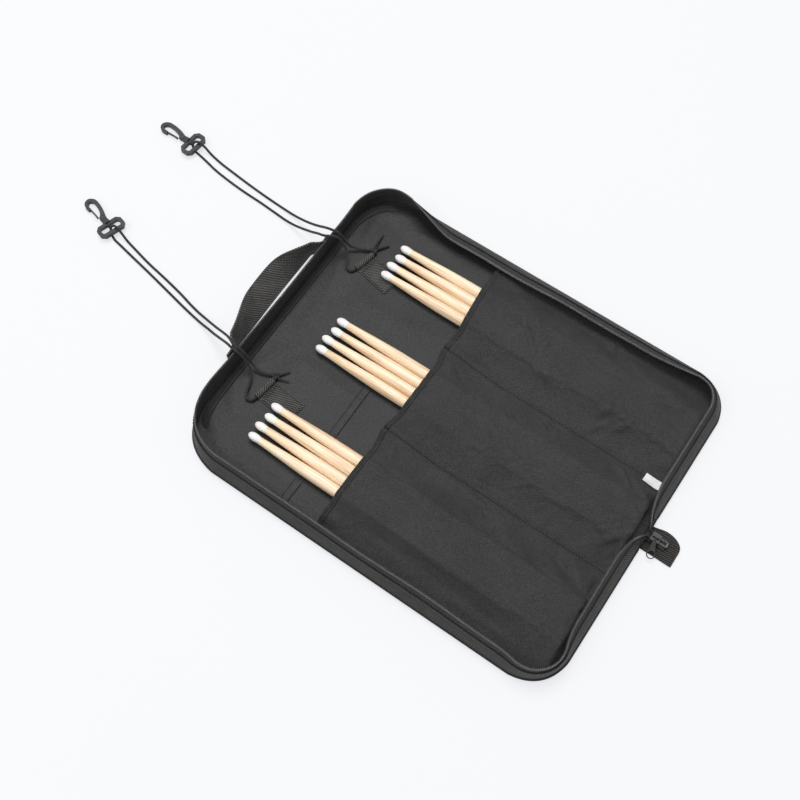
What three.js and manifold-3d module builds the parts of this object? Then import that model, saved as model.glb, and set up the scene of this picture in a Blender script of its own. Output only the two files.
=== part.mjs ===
// A drum stick bag lying open: two fabric leaves that fold like a book about a narrow spine, three pockets
// with four sticks each, a zip round the leaves, a webbing handle and two cords with snap hooks.
// Millimetres. +X across the bag, +Y towards the handle end, +Z up. The origin is on the floor, midway
// between the bag's long sides.
import * as THREE from 'three';
import * as BufferGeometryUtils from 'three/addons/utils/BufferGeometryUtils.js';
import Module from 'manifold-3d';

// ---- driving dimensions -----------------------------------------------------------------------------
const HALF_WIDTH = 203;
const HALF_LENGTH = 240;
const HANDLE_CORNER = { near: 58, far: 52 };  // corner radius of each leaf at the handle end
const ZIP_CORNER = 42;         // corner radius of a leaf at the zip end
const HINGE_X = 40;            // the leaves fold about lines this far from the middle
// How much longer than the zip end the handle end of the base is, at places across the bag: it runs askew.
const SKEW_STOPS = [[-203, -5.2], [-110, -7.95], [60, -0.3], [203, 3.3]];
const MITRE = 1.08;            // near a fold, a solid starts this much further out per millimetre of height

const SHELL_T = 0.8;
const PADDING_T = 3;
const LINING_T = 0.6;
const GAP = 0.3;               // air left between pieces that touch
const PANEL_TOP = SHELL_T + PADDING_T + LINING_T + 2 * GAP;
const POCKET_T = 0.8;
const POCKET_Z = PANEL_TOP + GAP;

const WALL_T = 1.5;
const WALL_INSET = 1.5;        // the wall's foot stands this far in from the edge of the base
const GUSSET_H = 16;
const TAPE_H = 8.2;
const COIL_H = 2;

const STICK_R = 6.7;
const STICK_PITCH = 13.8;
const STICK_LENGTH = 390;
const STICK_TAPER = 92;        // the shaft narrows over this length up to the tip
const STICK_NECK_R = 4.1;
const TIP_LENGTH = 15;
const TIP_R = 4.9;
const STICK_Z = PANEL_TOP + GAP + STICK_R;
const MOUTH_Y = 50;            // the pockets open here
const GROUP_CENTRE = { near: -127, middle: 0, far: 121 };
const BUTT_Y = { near: -222, middle: -218, far: -222 };
const BUTT_STEP = [0, 1.5, -0.8, 0.9];  // hand-packed sticks don't line up exactly

const CORD_R = 1.5;
const CORD_SIDES = 8;

const group = new THREE.Group();

// ---- materials --------------------------------------------------------------------------------------
const shellCloth = new THREE.MeshStandardMaterial({ color: 0x1b1a1c, roughness: 0.85, metalness: 0 });
const foam = new THREE.MeshStandardMaterial({ color: 0x3a3a3c, roughness: 0.95, metalness: 0 });
const liningCloth = new THREE.MeshStandardMaterial({ color: 0x2b2c2e, roughness: 0.6, metalness: 0 });
const webbing = new THREE.MeshStandardMaterial({ color: 0x262523, roughness: 0.8, metalness: 0 });
const zipTape = new THREE.MeshStandardMaterial({ color: 0x201f20, roughness: 0.8, metalness: 0 });
const nylonCoil = new THREE.MeshStandardMaterial({ color: 0x161617, roughness: 0.4, metalness: 0 });
const zipMetal = new THREE.MeshStandardMaterial({ color: 0x1c1c1e, roughness: 0.4, metalness: 0.6 });
const hookPlastic = new THREE.MeshStandardMaterial({ color: 0x1e1e20, roughness: 0.45, metalness: 0 });
const cordFibre = new THREE.MeshStandardMaterial({ color: 0x1d1c1d, roughness: 0.85, metalness: 0 });
const maple = new THREE.MeshStandardMaterial({ color: 0xe8c49a, roughness: 0.5, metalness: 0 });
const whiteNylon = new THREE.MeshStandardMaterial({ color: 0xf0efeb, roughness: 0.4, metalness: 0 });
const labelCloth = new THREE.MeshStandardMaterial({ color: 0xf2f2f2, roughness: 0.8, metalness: 0 });

// ---- building helpers -------------------------------------------------------------------------------
function add(name, geometry, material, parent = group) {
  const mesh = new THREE.Mesh(geometry, material);
  mesh.name = name;
  parent.add(mesh);
  return mesh;
}

function between(a, b, t) {
  return a + (b - a) * t;
}

// A closed sheet between two grids of points: inner[i][j] on one face and outer[i][j] on the other.
function sheetSolid(inner, outer) {
  const rows = inner.length;
  const columns = inner[0].length;
  const positions = [];
  for (const grid of [inner, outer]) {
    for (const row of grid) {
      for (const point of row) positions.push(point.x, point.y, point.z);
    }
  }
  const at = (face, i, j) => face * rows * columns + i * columns + j;
  const index = [];
  const quad = (a, b, c, d) => index.push(a, b, c, a, c, d);
  for (let i = 0; i < rows - 1; i++) {
    for (let j = 0; j < columns - 1; j++) {
      quad(at(0, i, j), at(0, i + 1, j), at(0, i + 1, j + 1), at(0, i, j + 1));
      quad(at(1, i, j), at(1, i, j + 1), at(1, i + 1, j + 1), at(1, i + 1, j));
    }
  }
  for (let i = 0; i < rows - 1; i++) {
    quad(at(0, i, 0), at(1, i, 0), at(1, i + 1, 0), at(0, i + 1, 0));
    quad(at(0, i, columns - 1), at(0, i + 1, columns - 1), at(1, i + 1, columns - 1),
      at(1, i, columns - 1));
  }
  for (let j = 0; j < columns - 1; j++) {
    quad(at(0, 0, j), at(0, 0, j + 1), at(1, 0, j + 1), at(1, 0, j));
    quad(at(0, rows - 1, j), at(1, rows - 1, j), at(1, rows - 1, j + 1), at(0, rows - 1, j + 1));
  }
  const geometry = new THREE.BufferGeometry();
  geometry.setAttribute('position', new THREE.Float32BufferAttribute(positions, 3));
  geometry.setIndex(index);
  return facingOut(geometry);
}

// Turns every face over when the solid came out inside out.
function facingOut(geometry) {
  const p = geometry.getAttribute('position');
  const index = geometry.getIndex().array;
  const [a, b, c] = [new THREE.Vector3(), new THREE.Vector3(), new THREE.Vector3()];
  let volume = 0;
  for (let k = 0; k < index.length; k += 3) {
    a.fromBufferAttribute(p, index[k]);
    b.fromBufferAttribute(p, index[k + 1]);
    c.fromBufferAttribute(p, index[k + 2]);
    volume += a.dot(b.cross(c));
  }
  if (volume < 0) {
    for (let k = 0; k < index.length; k += 3) {
      [index[k], index[k + 1]] = [index[k + 1], index[k]];
    }
  }
  geometry.computeVertexNormals();
  return geometry;
}

function slab(shape, z, thickness, curveSegments = 8) {
  const geometry = new THREE.ExtrudeGeometry(shape,
    { depth: thickness, bevelEnabled: false, curveSegments });
  return geometry.translate(0, 0, z);
}

function rectangle(x0, y0, x1, y1) {
  const shape = new THREE.Shape();
  shape.moveTo(x0, y0);
  shape.lineTo(x1, y0);
  shape.lineTo(x1, y1);
  shape.lineTo(x0, y1);
  shape.closePath();
  return shape;
}

// The handle end of the base at x.
function handleEnd(x) {
  const k = SKEW_STOPS.findIndex(([stop], i) => i === SKEW_STOPS.length - 2 || x <= SKEW_STOPS[i + 1][0]);
  const [[x0, d0], [x1, d1]] = [SKEW_STOPS[k], SKEW_STOPS[k + 1]];
  return HALF_LENGTH + between(d0, d1, (x - x0) / (x1 - x0));
}

// ---- the leaves' flat layers ------------------------------------------------------------------------
// One leaf's outline from its straight inner edge, foldGap away from the fold, round to the outer corners.
function leafOutline(leaf, side, foldGap) {
  const inner = HINGE_X + foldGap;
  const outer = HALF_WIDTH;
  const end = HALF_LENGTH;
  const radius = HANDLE_CORNER[leaf];
  const corner = handleEnd(side * outer);
  const shape = new THREE.Shape();
  shape.moveTo(side * inner, -end);
  shape.lineTo(side * (outer - ZIP_CORNER), -end);
  shape.quadraticCurveTo(side * (outer - ZIP_CORNER * 0.12), -end + ZIP_CORNER * 0.12, side * outer,
    -end + ZIP_CORNER);
  shape.lineTo(side * outer, corner - radius);
  shape.quadraticCurveTo(side * (outer - radius * 0.12), corner - radius * 0.12,
    side * (outer - radius), handleEnd(side * (outer - radius)));
  shape.lineTo(side * inner, handleEnd(side * inner));
  shape.closePath();
  return shape;
}

const layers = [
  { name: 'outer_cloth', z: 0, thickness: SHELL_T, material: shellCloth },
  { name: 'padding', z: SHELL_T + GAP, thickness: PADDING_T, material: foam },
  { name: 'lining', z: SHELL_T + PADDING_T + 2 * GAP, thickness: LINING_T, material: liningCloth },
];

function addLayers() {
  for (const layer of layers) {
    const foldGap = MITRE * (layer.z + layer.thickness) + GAP;
    for (const [leaf, side] of [['near', -1], ['far', 1]]) {
      add(`${leaf}_${layer.name}`, slab(leafOutline(leaf, side, foldGap), layer.z, layer.thickness),
        layer.material);
    }
    const half = HINGE_X - foldGap;
    const strip = new THREE.Shape();
    strip.moveTo(-half, -HALF_LENGTH);
    strip.lineTo(half, -HALF_LENGTH);
    strip.lineTo(half, handleEnd(half));
    strip.lineTo(-half, handleEnd(-half));
    strip.closePath();
    add(`spine_${layer.name}`, slab(strip, layer.z, layer.thickness), layer.material);
  }
}

// ---- the walls: webbing gusset, zip tape and zip coil -----------------------------------------------
// The foot of a leaf's wall runs along the leaf's edge from the handle end's fold to the zip end's.
function wallFoot(leaf, side) {
  const outer = HALF_WIDTH - WALL_INSET;
  const end = HALF_LENGTH - WALL_INSET;
  const radius = HANDLE_CORNER[leaf];
  const handleEdge = (x) => handleEnd(side * x) - WALL_INSET;
  const path = new THREE.CurvePath();
  const point = (x, y) => new THREE.Vector2(side * x, y);
  const straight = (a, b) => path.add(new THREE.LineCurve(a, b));
  const cornerStart = point(outer - radius, handleEdge(outer - radius));
  const cornerMiddle = point(outer - radius * 0.12, handleEdge(outer) - radius * 0.12);
  const cornerEnd = point(outer, handleEdge(outer) - radius);
  straight(point(HINGE_X, handleEdge(HINGE_X)), cornerStart);
  path.add(new THREE.QuadraticBezierCurve(cornerStart, cornerMiddle, cornerEnd));
  straight(cornerEnd, point(outer, -end + ZIP_CORNER));
  path.add(new THREE.QuadraticBezierCurve(point(outer, -end + ZIP_CORNER),
    point(outer - ZIP_CORNER * 0.12, -end + ZIP_CORNER * 0.12), point(outer - ZIP_CORNER, -end)));
  straight(point(outer - ZIP_CORNER, -end), point(HINGE_X, -end));
  return path;
}

// How far a leaf's wall leans in over the leaf, in degrees, at places along the foot given in millimetres.
const leanStops = {
  near: [[0, 2], [50, 0], [95, -4], [130, 4], [165, 16], [200, 22], [510, 22], [590, 32], [750, 32]],
  far: [[0, 2], [90, 3], [135, -2], [165, 0], [190, 18], [250, 60], [320, 60], [400, 54], [520, 54],
    [600, 32], [760, 32]],
};

function leanAt(stops, distance) {
  let k = 1;
  while (k < stops.length - 1 && stops[k][0] < distance) k++;
  const [d0, a0] = stops[k - 1];
  const [d1, a1] = stops[k];
  const t = THREE.MathUtils.clamp((distance - d0) / (d1 - d0), 0, 1);
  return THREE.MathUtils.degToRad(between(a0, a1, t));
}

const wallStations = [0, 0.05, 0.1, 0.13, 0.16, 0.18, 0.2, 0.22, 0.24, 0.26, 0.28, 0.33, 0.4, 0.5, 0.6,
  0.68, 0.72, 0.74, 0.76, 0.78, 0.8, 0.82, 0.85, 0.9, 1];

// A point of the wall's middle surface: station from 0 to 1 along the foot, and rise up the wall.
function wallPoint(leaf, side, station, rise, offset) {
  const path = wallFoot(leaf, side);
  const length = path.getLength();
  const trim = MITRE * (POCKET_Z + rise) + GAP;
  const distance = between(trim, length - trim, station);
  const foot = path.getPointAt(distance / length);
  const tangent = path.getTangentAt(distance / length);
  const inward = new THREE.Vector2(tangent.y, -tangent.x).multiplyScalar(side);
  const lean = leanAt(leanStops[leaf], distance);
  const away = rise * Math.sin(lean) - offset * Math.cos(lean);
  const up = rise * Math.cos(lean) + offset * Math.sin(lean);
  return new THREE.Vector3(foot.x + inward.x * away, foot.y + inward.y * away, POCKET_Z + WALL_T / 2 + up);
}

function wallBand(leaf, side, rise0, rise1, thickness) {
  const column = (station, offset) => (
    [rise0, rise1].map((rise) => wallPoint(leaf, side, station, rise, offset))
  );
  const faces = [-thickness / 2, thickness / 2].map((offset) => (
    wallStations.map((station) => column(station, offset))
  ));
  return sheetSolid(faces[0], faces[1]);
}

function addLeafWalls() {
  const tapeFoot = GUSSET_H + GAP;
  const coilFoot = tapeFoot + TAPE_H + GAP;
  for (const [leaf, side] of [['near', -1], ['far', 1]]) {
    add(`${leaf}_gusset`, wallBand(leaf, side, 0, GUSSET_H, WALL_T), webbing);
    add(`${leaf}_zip_tape`, wallBand(leaf, side, tapeFoot, tapeFoot + TAPE_H, 0.9), zipTape);
    add(`${leaf}_zip_coil`, wallBand(leaf, side, coilFoot, coilFoot + COIL_H, 1.8), nylonCoil);
  }
}

// The spine's end walls are cut off along the folds, so that the leaves' walls can turn up beside them.
function spineWall(end, leanDegrees) {
  const lean = THREE.MathUtils.degToRad(leanDegrees);
  const rises = [0, GUSSET_H];
  const edge = (x) => (end > 0 ? handleEnd(x) : -HALF_LENGTH);
  const faces = [-WALL_T / 2, WALL_T / 2].map((offset) => rises.map((rise) => {
    const half = HINGE_X - MITRE * (POCKET_Z + rise + WALL_T) - GAP;
    const inward = WALL_INSET + rise * Math.sin(lean) - offset * Math.cos(lean);
    const z = POCKET_Z + WALL_T / 2 + rise * Math.cos(lean) + offset * Math.sin(lean);
    return [-half, half].map((x) => new THREE.Vector3(x, edge(x) - end * inward, z));
  }));
  return sheetSolid(faces[0], faces[1]);
}

// ---- pockets ----------------------------------------------------------------------------------------
// A pocket's cross-section: points [distance from the middle of the sticks, height over the flat cloth].
const STICKS_HALF = 1.5 * STICK_PITCH + STICK_R;
const POCKET_RISE = 2 * STICK_R + GAP;
const easyArch = [[0, 1], [12, 1], [STICKS_HALF - 5, 1], [STICKS_HALF - 1, 0.96], [STICKS_HALF + 4, 0.75],
  [STICKS_HALF + 10, 0.4], [STICKS_HALF + 16, 0.13], [STICKS_HALF + 22, 0]];
const steepArch = [[0, 1], [12, 1], [STICKS_HALF - 5.4, 1], [STICKS_HALF - 2, 0.93],
  [STICKS_HALF + 0.9, 0.58], [STICKS_HALF + 1.6, 0.1], [STICKS_HALF + 3.4, 0]];

// Both faces of the pocket cloth across the bag at one place along it. Beside the sticks the cloth is
// squeezed towards them by squeeze, and its arch is lifted by lift.
function pocketSection(arch, centre, x0, x1, lift, squeeze) {
  const beside = (d) => (d > STICKS_HALF ? STICKS_HALF + (d - STICKS_HALF) * squeeze : d);
  const reach = (x) => centre + Math.sign(x - centre) * beside(Math.abs(x - centre));
  const right = arch.filter(([d]) => centre + d < x1 - 2).map(([d, h]) => [reach(centre + d), h]);
  const left = arch.filter(([d]) => d > 0 && centre - d > x0 + 2)
    .map(([d, h]) => [reach(centre - d), h])
    .reverse();
  const ends = [x0, x1].map((x) => (Math.abs(x) > Math.abs(centre) ? reach(x) : x));
  const line = [[ends[0], 0], ...left, ...right, [ends[1], 0]]
    .map(([x, h]) => new THREE.Vector2(x, POCKET_Z + h * POCKET_RISE * lift));
  const outer = line.map((point, k) => {
    const before = line[Math.max(0, k - 1)];
    const after = line[Math.min(line.length - 1, k + 1)];
    const along = after.clone().sub(before).normalize();
    return new THREE.Vector2(point.x - along.y * POCKET_T, point.y + along.x * POCKET_T);
  });
  return { inner: line, outer };
}

// Rows along the bag: [y, lift, squeeze]. The cloth is sewn down flat just inside the zip end.
const pocketRows = [[-233.5, 0, 0.4], [-231, 0.3, 0.46], [-227.8, 0.75, 0.56], [-225, 1, 0.64],
  [-198, 1, 1], [-80, 1, 1], [MOUTH_Y, 1, 1]];

function pocketCloth(arch, centre, x0, x1) {
  const lay = (face) => pocketRows.map(([y, lift, squeeze]) => {
    const section = pocketSection(arch, centre, x0, x1, lift, squeeze)[face];
    return section.map((point) => new THREE.Vector3(point.x, y, point.y));
  });
  return sheetSolid(lay('inner'), lay('outer'));
}

function addPockets() {
  const foldGap = MITRE * (POCKET_Z + POCKET_T) + GAP;
  const outerEdge = HALF_WIDTH - 9;
  add('near_pocket', pocketCloth(easyArch, GROUP_CENTRE.near, -outerEdge, -HINGE_X - foldGap), shellCloth);
  add('middle_pocket', pocketCloth(steepArch, GROUP_CENTRE.middle, -HINGE_X + foldGap, HINGE_X - foldGap),
    shellCloth);
  add('far_pocket', pocketCloth(easyArch, GROUP_CENTRE.far, HINGE_X + foldGap, outerEdge), shellCloth);
}

// ---- sticks -----------------------------------------------------------------------------------------
const SHAFT_LENGTH = STICK_LENGTH - TIP_LENGTH;

function stickShaft() {
  const taperFoot = STICK_LENGTH - STICK_TAPER;
  const profile = [[0, 0], [STICK_R - 2, 0], [STICK_R - 0.5, 0.8], [STICK_R, 2.5], [STICK_R, taperFoot],
    [STICK_R - 0.7, taperFoot + 34], [STICK_NECK_R + 0.6, SHAFT_LENGTH - 14], [STICK_NECK_R, SHAFT_LENGTH],
    [0, SHAFT_LENGTH]];
  return new THREE.LatheGeometry(profile.map(([r, y]) => new THREE.Vector2(r, y)), 12);
}

function stickTip() {
  const foot = SHAFT_LENGTH + GAP;
  const profile = [[0, foot], [STICK_NECK_R, foot], [TIP_R - 0.2, foot + 4.5], [TIP_R, foot + 7.5],
    [TIP_R - 1, foot + 11.3], [TIP_R - 3, foot + 14], [0, STICK_LENGTH]];
  return new THREE.LatheGeometry(profile.map(([r, y]) => new THREE.Vector2(r, y)), 12);
}

function addSticks() {
  for (const place of ['near', 'middle', 'far']) {
    for (let k = 0; k < 4; k++) {
      const stick = new THREE.Group();
      stick.position.set(GROUP_CENTRE[place] + (k - 1.5) * STICK_PITCH, BUTT_Y[place] + BUTT_STEP[k],
        STICK_Z);
      group.add(stick);
      add(`${place}_stick_${k + 1}_shaft`, stickShaft(), maple, stick);
      add(`${place}_stick_${k + 1}_tip`, stickTip(), whiteNylon, stick);
    }
  }
}

// ---- handle -----------------------------------------------------------------------------------------
const HANDLE_X = 4;            // middle of the strap
const HANDLE_HALF = 98;
const HANDLE_FREE = 88;        // the strap lies on the wall beyond this distance from its middle
const HANDLE_EASE = 16;        // it moves off the wall over this length
const HANDLE_WIDTH = 31;
const HANDLE_T = 1.6;
const HANDLE_FOOT_Z = 0.8;
const HANDLE_LEAN = 1.08;      // most lean, in radians, where a hand takes it
const HANDLE_LEAN_X = 13;
const HANDLE_LEAN_REACH = { near: 55, far: 42 };

// The strap stands on edge where it is sewn. Between its ends it stands off the wall and lies back.
function handleStrap() {
  const steps = 30;
  const low = HANDLE_X - HANDLE_HALF;
  const columns = [...Array(steps + 1).keys()].map((k) => between(low, low + 2 * HANDLE_HALF, k / steps));
  const face = (offset) => columns.map((x) => {
    const free = HANDLE_FREE - Math.abs(x - HANDLE_X);
    const footY = handleEnd(x) + 2.5 + 10.5 * THREE.MathUtils.smoothstep(free, 0, HANDLE_EASE);
    const reach = x < HANDLE_LEAN_X ? HANDLE_LEAN_REACH.near : HANDLE_LEAN_REACH.far;
    const back = HANDLE_LEAN * Math.exp(-(((x - HANDLE_LEAN_X) / reach) ** 2));
    const upright = THREE.MathUtils.smoothstep(x, 30, 70) * THREE.MathUtils.smoothstep(-x, -97, -82);
    const lean = 0.04 + back - 0.2 * upright;
    return [0, HANDLE_WIDTH].map((rise) => new THREE.Vector3(x,
      footY + rise * Math.sin(lean) + offset * Math.cos(lean),
      HANDLE_FOOT_Z + rise * Math.cos(lean) - offset * Math.sin(lean)));
  });
  return sheetSolid(face(-HANDLE_T / 2), face(HANDLE_T / 2));
}

// ---- webbing loops for the cords --------------------------------------------------------------------
const LOOP_WIDTH = 27;
const LOOP_HOLE_R = 1.98;
const LOOP_TUBE_R = 3.2;
const LOOP_TUBE_Z = PANEL_TOP + GAP + LOOP_TUBE_R;
const loops = {
  near: { x: -94, y: 187.5, turn: 0.1 },
  far: { x: 102.8, y: 193.5, turn: 0.18 },
};

// A strap sewn down flat, with its end rolled into a tube for the cord.
function webbingLoop() {
  const strapT = 1.2;
  const tail = 46;
  const outline = new THREE.Shape();
  const joinAngle = -Math.PI / 2 - Math.acos((LOOP_TUBE_R - strapT) / LOOP_TUBE_R);
  outline.moveTo(0, -LOOP_TUBE_R);
  outline.absarc(0, 0, LOOP_TUBE_R, -Math.PI / 2, joinAngle + 2 * Math.PI, false);
  outline.lineTo(-tail, -LOOP_TUBE_R + strapT);
  outline.lineTo(-tail, -LOOP_TUBE_R);
  outline.closePath();
  const hole = new THREE.Path();
  hole.absarc(0, 0, LOOP_HOLE_R, 0, 2 * Math.PI, true);
  outline.holes.push(hole);
  const geometry = slab(outline, -LOOP_WIDTH / 2, LOOP_WIDTH, 12);
  // outline x runs along the bag (+Y) and outline y up (+Z)
  geometry.applyMatrix4(new THREE.Matrix4().makeBasis(
    new THREE.Vector3(0, 1, 0), new THREE.Vector3(0, 0, 1), new THREE.Vector3(1, 0, 0)));
  return geometry;
}

function addWebbingLoops() {
  for (const [leaf, place] of Object.entries(loops)) {
    const holder = new THREE.Group();
    holder.position.set(place.x, place.y, LOOP_TUBE_Z);
    holder.rotation.z = -place.turn;
    group.add(holder);
    add(`${leaf}_webbing_loop`, webbingLoop(), webbing, holder);
  }
}

// ---- joining and cutting solids ---------------------------------------------------------------------
const wasm = await Module();
wasm.setup();

function toSolid(geometry) {
  const bare = geometry.clone();
  bare.deleteAttribute('normal');
  bare.deleteAttribute('uv');
  const merged = BufferGeometryUtils.mergeVertices(bare, 1e-4);
  return new wasm.Manifold(new wasm.Mesh({
    numProp: 3,
    vertProperties: merged.getAttribute('position').array,
    triVerts: new Uint32Array(merged.getIndex().array),
  }));
}

function toGeometry(solid) {
  const mesh = solid.getMesh();
  const geometry = new THREE.BufferGeometry();
  geometry.setAttribute('position', new THREE.Float32BufferAttribute(mesh.vertProperties, 3));
  geometry.setIndex(new THREE.Uint32BufferAttribute(mesh.triVerts, 1));
  geometry.computeVertexNormals();
  return geometry;
}

function joined(...geometries) {
  const [first, ...rest] = geometries.map(toSolid);
  return toGeometry(rest.reduce((whole, piece) => whole.add(piece), first));
}

function cut(geometry, ...tools) {
  return toGeometry(tools.map(toSolid).reduce((whole, tool) => whole.subtract(tool), toSolid(geometry)));
}

// ---- cords ------------------------------------------------------------------------------------------
function tube(points, radius, sides, steps) {
  const path = new THREE.CatmullRomCurve3(points.map(([x, y, z]) => new THREE.Vector3(x, y, z)), false,
    'centripetal');
  const section = new THREE.Shape();
  for (let k = 0; k < sides; k++) {
    const angle = (k + 0.5) * 2 * Math.PI / sides;
    const corner = [radius * Math.cos(angle), radius * Math.sin(angle)];
    if (k === 0) section.moveTo(...corner);
    else section.lineTo(...corner);
  }
  section.closePath();
  return new THREE.ExtrudeGeometry(section, { steps, bevelEnabled: false, extrudePath: path });
}

// Each cord goes from its knot through the rolled strap, over the wall and the handle's end, along the
// floor to the hook, round the frame's bar and back beside itself to the knot.
const cordRoutes = {
  near: [
    [-76.3, 185.8, 8.6], [-80.6, 186.2, 8.5], [-94, 187.5, 8.5], [-107.4, 188.9, 8.5],
    [-113.5, 190.6, 8.5], [-115.3, 196.2, 8.8], [-109.5, 201.2, 9], [-99, 205, 9.3], [-90.5, 209.2, 10.8],
    [-86, 214, 15], [-84.8, 219.3, 24], [-84.9, 225, 32.8], [-85.2, 231, 36], [-85.2, 237, 36.2],
    [-83, 245, 33.4], [-80.2, 254, 26.8], [-77.5, 264, 20.2], [-74.8, 274, 14], [-72, 284, 8.8],
    [-69.6, 295, 4.6], [-67.2, 308, 2.5], [-63.5, 328, 1.8], [-58, 355, 1.8], [-51, 390, 1.8],
    [-45, 422, 1.8], [-41.3, 441, 1.7], [-39.3, 451.4, 1.6], [-37.4, 456.1, 1.6], [-35.1, 460.6, 1.6],
    [-32.2, 463.4, 3.1], [-30.5, 463.9, 6.2], [-29, 462.4, 9], [-28.3, 458.7, 11.1], [-28.8, 453.6, 10.7],
    [-30, 447.7, 7.4], [-32.4, 438, 2.9], [-35.5, 424, 1.8], [-41, 400, 1.8], [-46.6, 368, 1.8],
    [-52, 341, 1.8], [-56, 325, 1.9], [-59.4, 310, 3], [-62, 298, 6.2], [-64.8, 287, 10.8],
    [-67.8, 276, 16.5], [-70.8, 265, 23.2], [-73.6, 256, 29.6], [-76.3, 248.5, 34.5], [-78.8, 243, 36.2],
    [-80.9, 238.3, 36.6], [-81.2, 232.5, 36.6], [-80.9, 226.5, 34.5], [-80.6, 220.5, 26],
    [-80.6, 215, 16.5], [-81.2, 209, 11.5], [-80.4, 201, 9.6], [-78, 194.5, 9], [-76.6, 191, 9],
  ],
  far: [
    [120.7, 190.4, 8.6], [116.1, 191.1, 8.5], [102.8, 193.5, 8.5], [89.5, 195.9, 8.5], [83.6, 198.2, 8.5],
    [83.4, 204, 8.9], [89, 208.6, 9.2], [95.5, 212.5, 10.8], [99.6, 217.2, 15.5], [100.6, 222, 23.5],
    [99.3, 227, 31.8], [95.8, 231.6, 36], [91.6, 236.8, 37], [90, 243, 35.6], [90.6, 250, 32],
    [92.2, 259, 25], [94, 269, 18], [95.6, 280, 11.5], [97, 291.5, 6.2], [98.4, 305, 2.8], [100, 322, 1.8],
    [101.5, 344.5, 1.8], [102.6, 372, 1.8], [104.6, 396, 1.8], [107.5, 418, 1.8], [111.5, 436, 1.7],
    [114.1, 448.5, 1.6], [114.9, 453.4, 1.6], [116.1, 458.4, 1.6], [118.2, 461.8, 3.1],
    [119.8, 462.6, 6.2], [121.6, 461.5, 9], [123.1, 458, 11.1], [123.8, 453, 10.7], [124, 447, 7.4],
    [122.6, 437, 2.9], [119.6, 420, 1.8], [116.8, 396, 1.8], [114.2, 371, 1.8], [112.2, 346, 1.8],
    [110.9, 322, 1.8], [109.8, 305, 2.8], [108.3, 292, 6.4], [106.4, 280.5, 11.8], [104.6, 269.5, 18],
    [103.1, 259, 24.8], [101.8, 250, 31.5], [101, 243, 36], [101.6, 236.5, 37], [103.4, 231, 35],
    [105, 226.5, 28.5], [106.3, 222, 20], [108.2, 217, 13.5], [111.4, 210.5, 10.4], [115, 203.5, 9.4],
    [118, 198.6, 9.2], [119.4, 196, 9.2],
  ],
};
const cordSteps = 112;
const knots = {
  near: {
    centre: [-75.8, 187, 9.3],
    tails: [[[-75.8, 187, 9.3], [-70, 183, 8.6], [-62, 177.7, 7.2]],
      [[-75.8, 187, 9.3], [-75.2, 179, 8.2], [-72.5, 170.7, 7]]],
  },
  far: {
    centre: [121, 192.8, 9.3],
    tails: [[[121, 192.8, 9.3], [132, 195.8, 8.8], [145.6, 197.2, 7.2]],
      [[121, 192.8, 9.3], [128.5, 188.8, 8.2], [137.6, 183, 7]]],
  },
};

function addCords() {
  for (const leaf of ['near', 'far']) {
    const { centre, tails } = knots[leaf];
    const knot = new THREE.SphereGeometry(1, 10, 8).scale(4.2, 4.6, 3.6).translate(...centre);
    const ends = tails.map((points) => tube(points, CORD_R * 0.97, CORD_SIDES, 6));
    add(`${leaf}_cord`, joined(tube(cordRoutes[leaf], CORD_R, CORD_SIDES, cordSteps), knot, ...ends),
      cordFibre);
  }
}

// ---- snap hooks -------------------------------------------------------------------------------------
// Each hook lies with its frame propped on the cord and the tip of its hook on the floor.
// In a hook's own axes +Y runs from the frame to the hook and Z is its thickness.
const HOOK_Z = 6;
const HOOK_PITCH = -0.06;
const FRAME_T = 4.6;
const hooks = {
  near: { x: -30.6, y: 463.5, yaw: -0.28 },
  far: { x: 119.8, y: 462.2, yaw: -0.05 },
};
const STEM_R = 1.35;
const STEM_HOLE_R = 1.65;
const FRAME_TOP_Y = 15;

// A cylinder-like piece turned about the hook's own axis, from radii at places along +Y.
function turned(profile, segments = 14) {
  return new THREE.LatheGeometry(profile.map(([r, y]) => new THREE.Vector2(r, y)), segments);
}

function hookFrame() {
  const outline = new THREE.Shape();
  const corners = [[-16.5, -4.5], [-12, -9], [12, -9], [16.5, -4.5], [16.5, 4.5], [12, 9], [-12, 9],
    [-16.5, 4.5]];
  corners.forEach(([x, y], k) => (k === 0 ? outline.moveTo(x, y) : outline.lineTo(x, y)));
  outline.closePath();
  const slot = new THREE.Path();
  const inside = [[-12.5, -2.5], [-12.5, 2.7], [-10.7, 4.5], [10.7, 4.5], [12.5, 2.7], [12.5, -2.5],
    [10.7, -4.3], [-10.7, -4.3]];
  inside.forEach(([x, y], k) => (k === 0 ? slot.moveTo(x, y) : slot.lineTo(x, y)));
  slot.closePath();
  outline.holes.push(slot);
  const plate = slab(outline, -FRAME_T / 2, FRAME_T);
  const boss = turned([[0, 7], [4.6, 7], [4.6, 10.5], [4, FRAME_TOP_Y], [0, FRAME_TOP_Y]]);
  const hole = turned([[0, 1], [STEM_HOLE_R, 1], [STEM_HOLE_R, 17], [0, 17]]);
  return cut(joined(plate, boss), hole);
}

// A flat bar of varying width along a curve, as an outline.
function barOutline(centreline, widths, steps) {
  const curve = new THREE.CatmullRomCurve3(centreline.map(([x, y]) => new THREE.Vector3(x, y, 0)));
  const left = [];
  const right = [];
  for (let k = 0; k <= steps; k++) {
    const t = k / steps;
    const point = curve.getPointAt(t);
    const along = curve.getTangentAt(t);
    const place = t * (widths.length - 1);
    const j = Math.min(Math.floor(place), widths.length - 2);
    const half = between(widths[j], widths[j + 1], place - j) / 2;
    left.push([point.x - along.y * half, point.y + along.x * half]);
    right.unshift([point.x + along.y * half, point.y - along.x * half]);
  }
  const shape = new THREE.Shape();
  [...left, ...right].forEach(([x, y], k) => (k === 0 ? shape.moveTo(x, y) : shape.lineTo(x, y)));
  shape.closePath();
  return shape;
}

const HOOK_T = 4.8;

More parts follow.
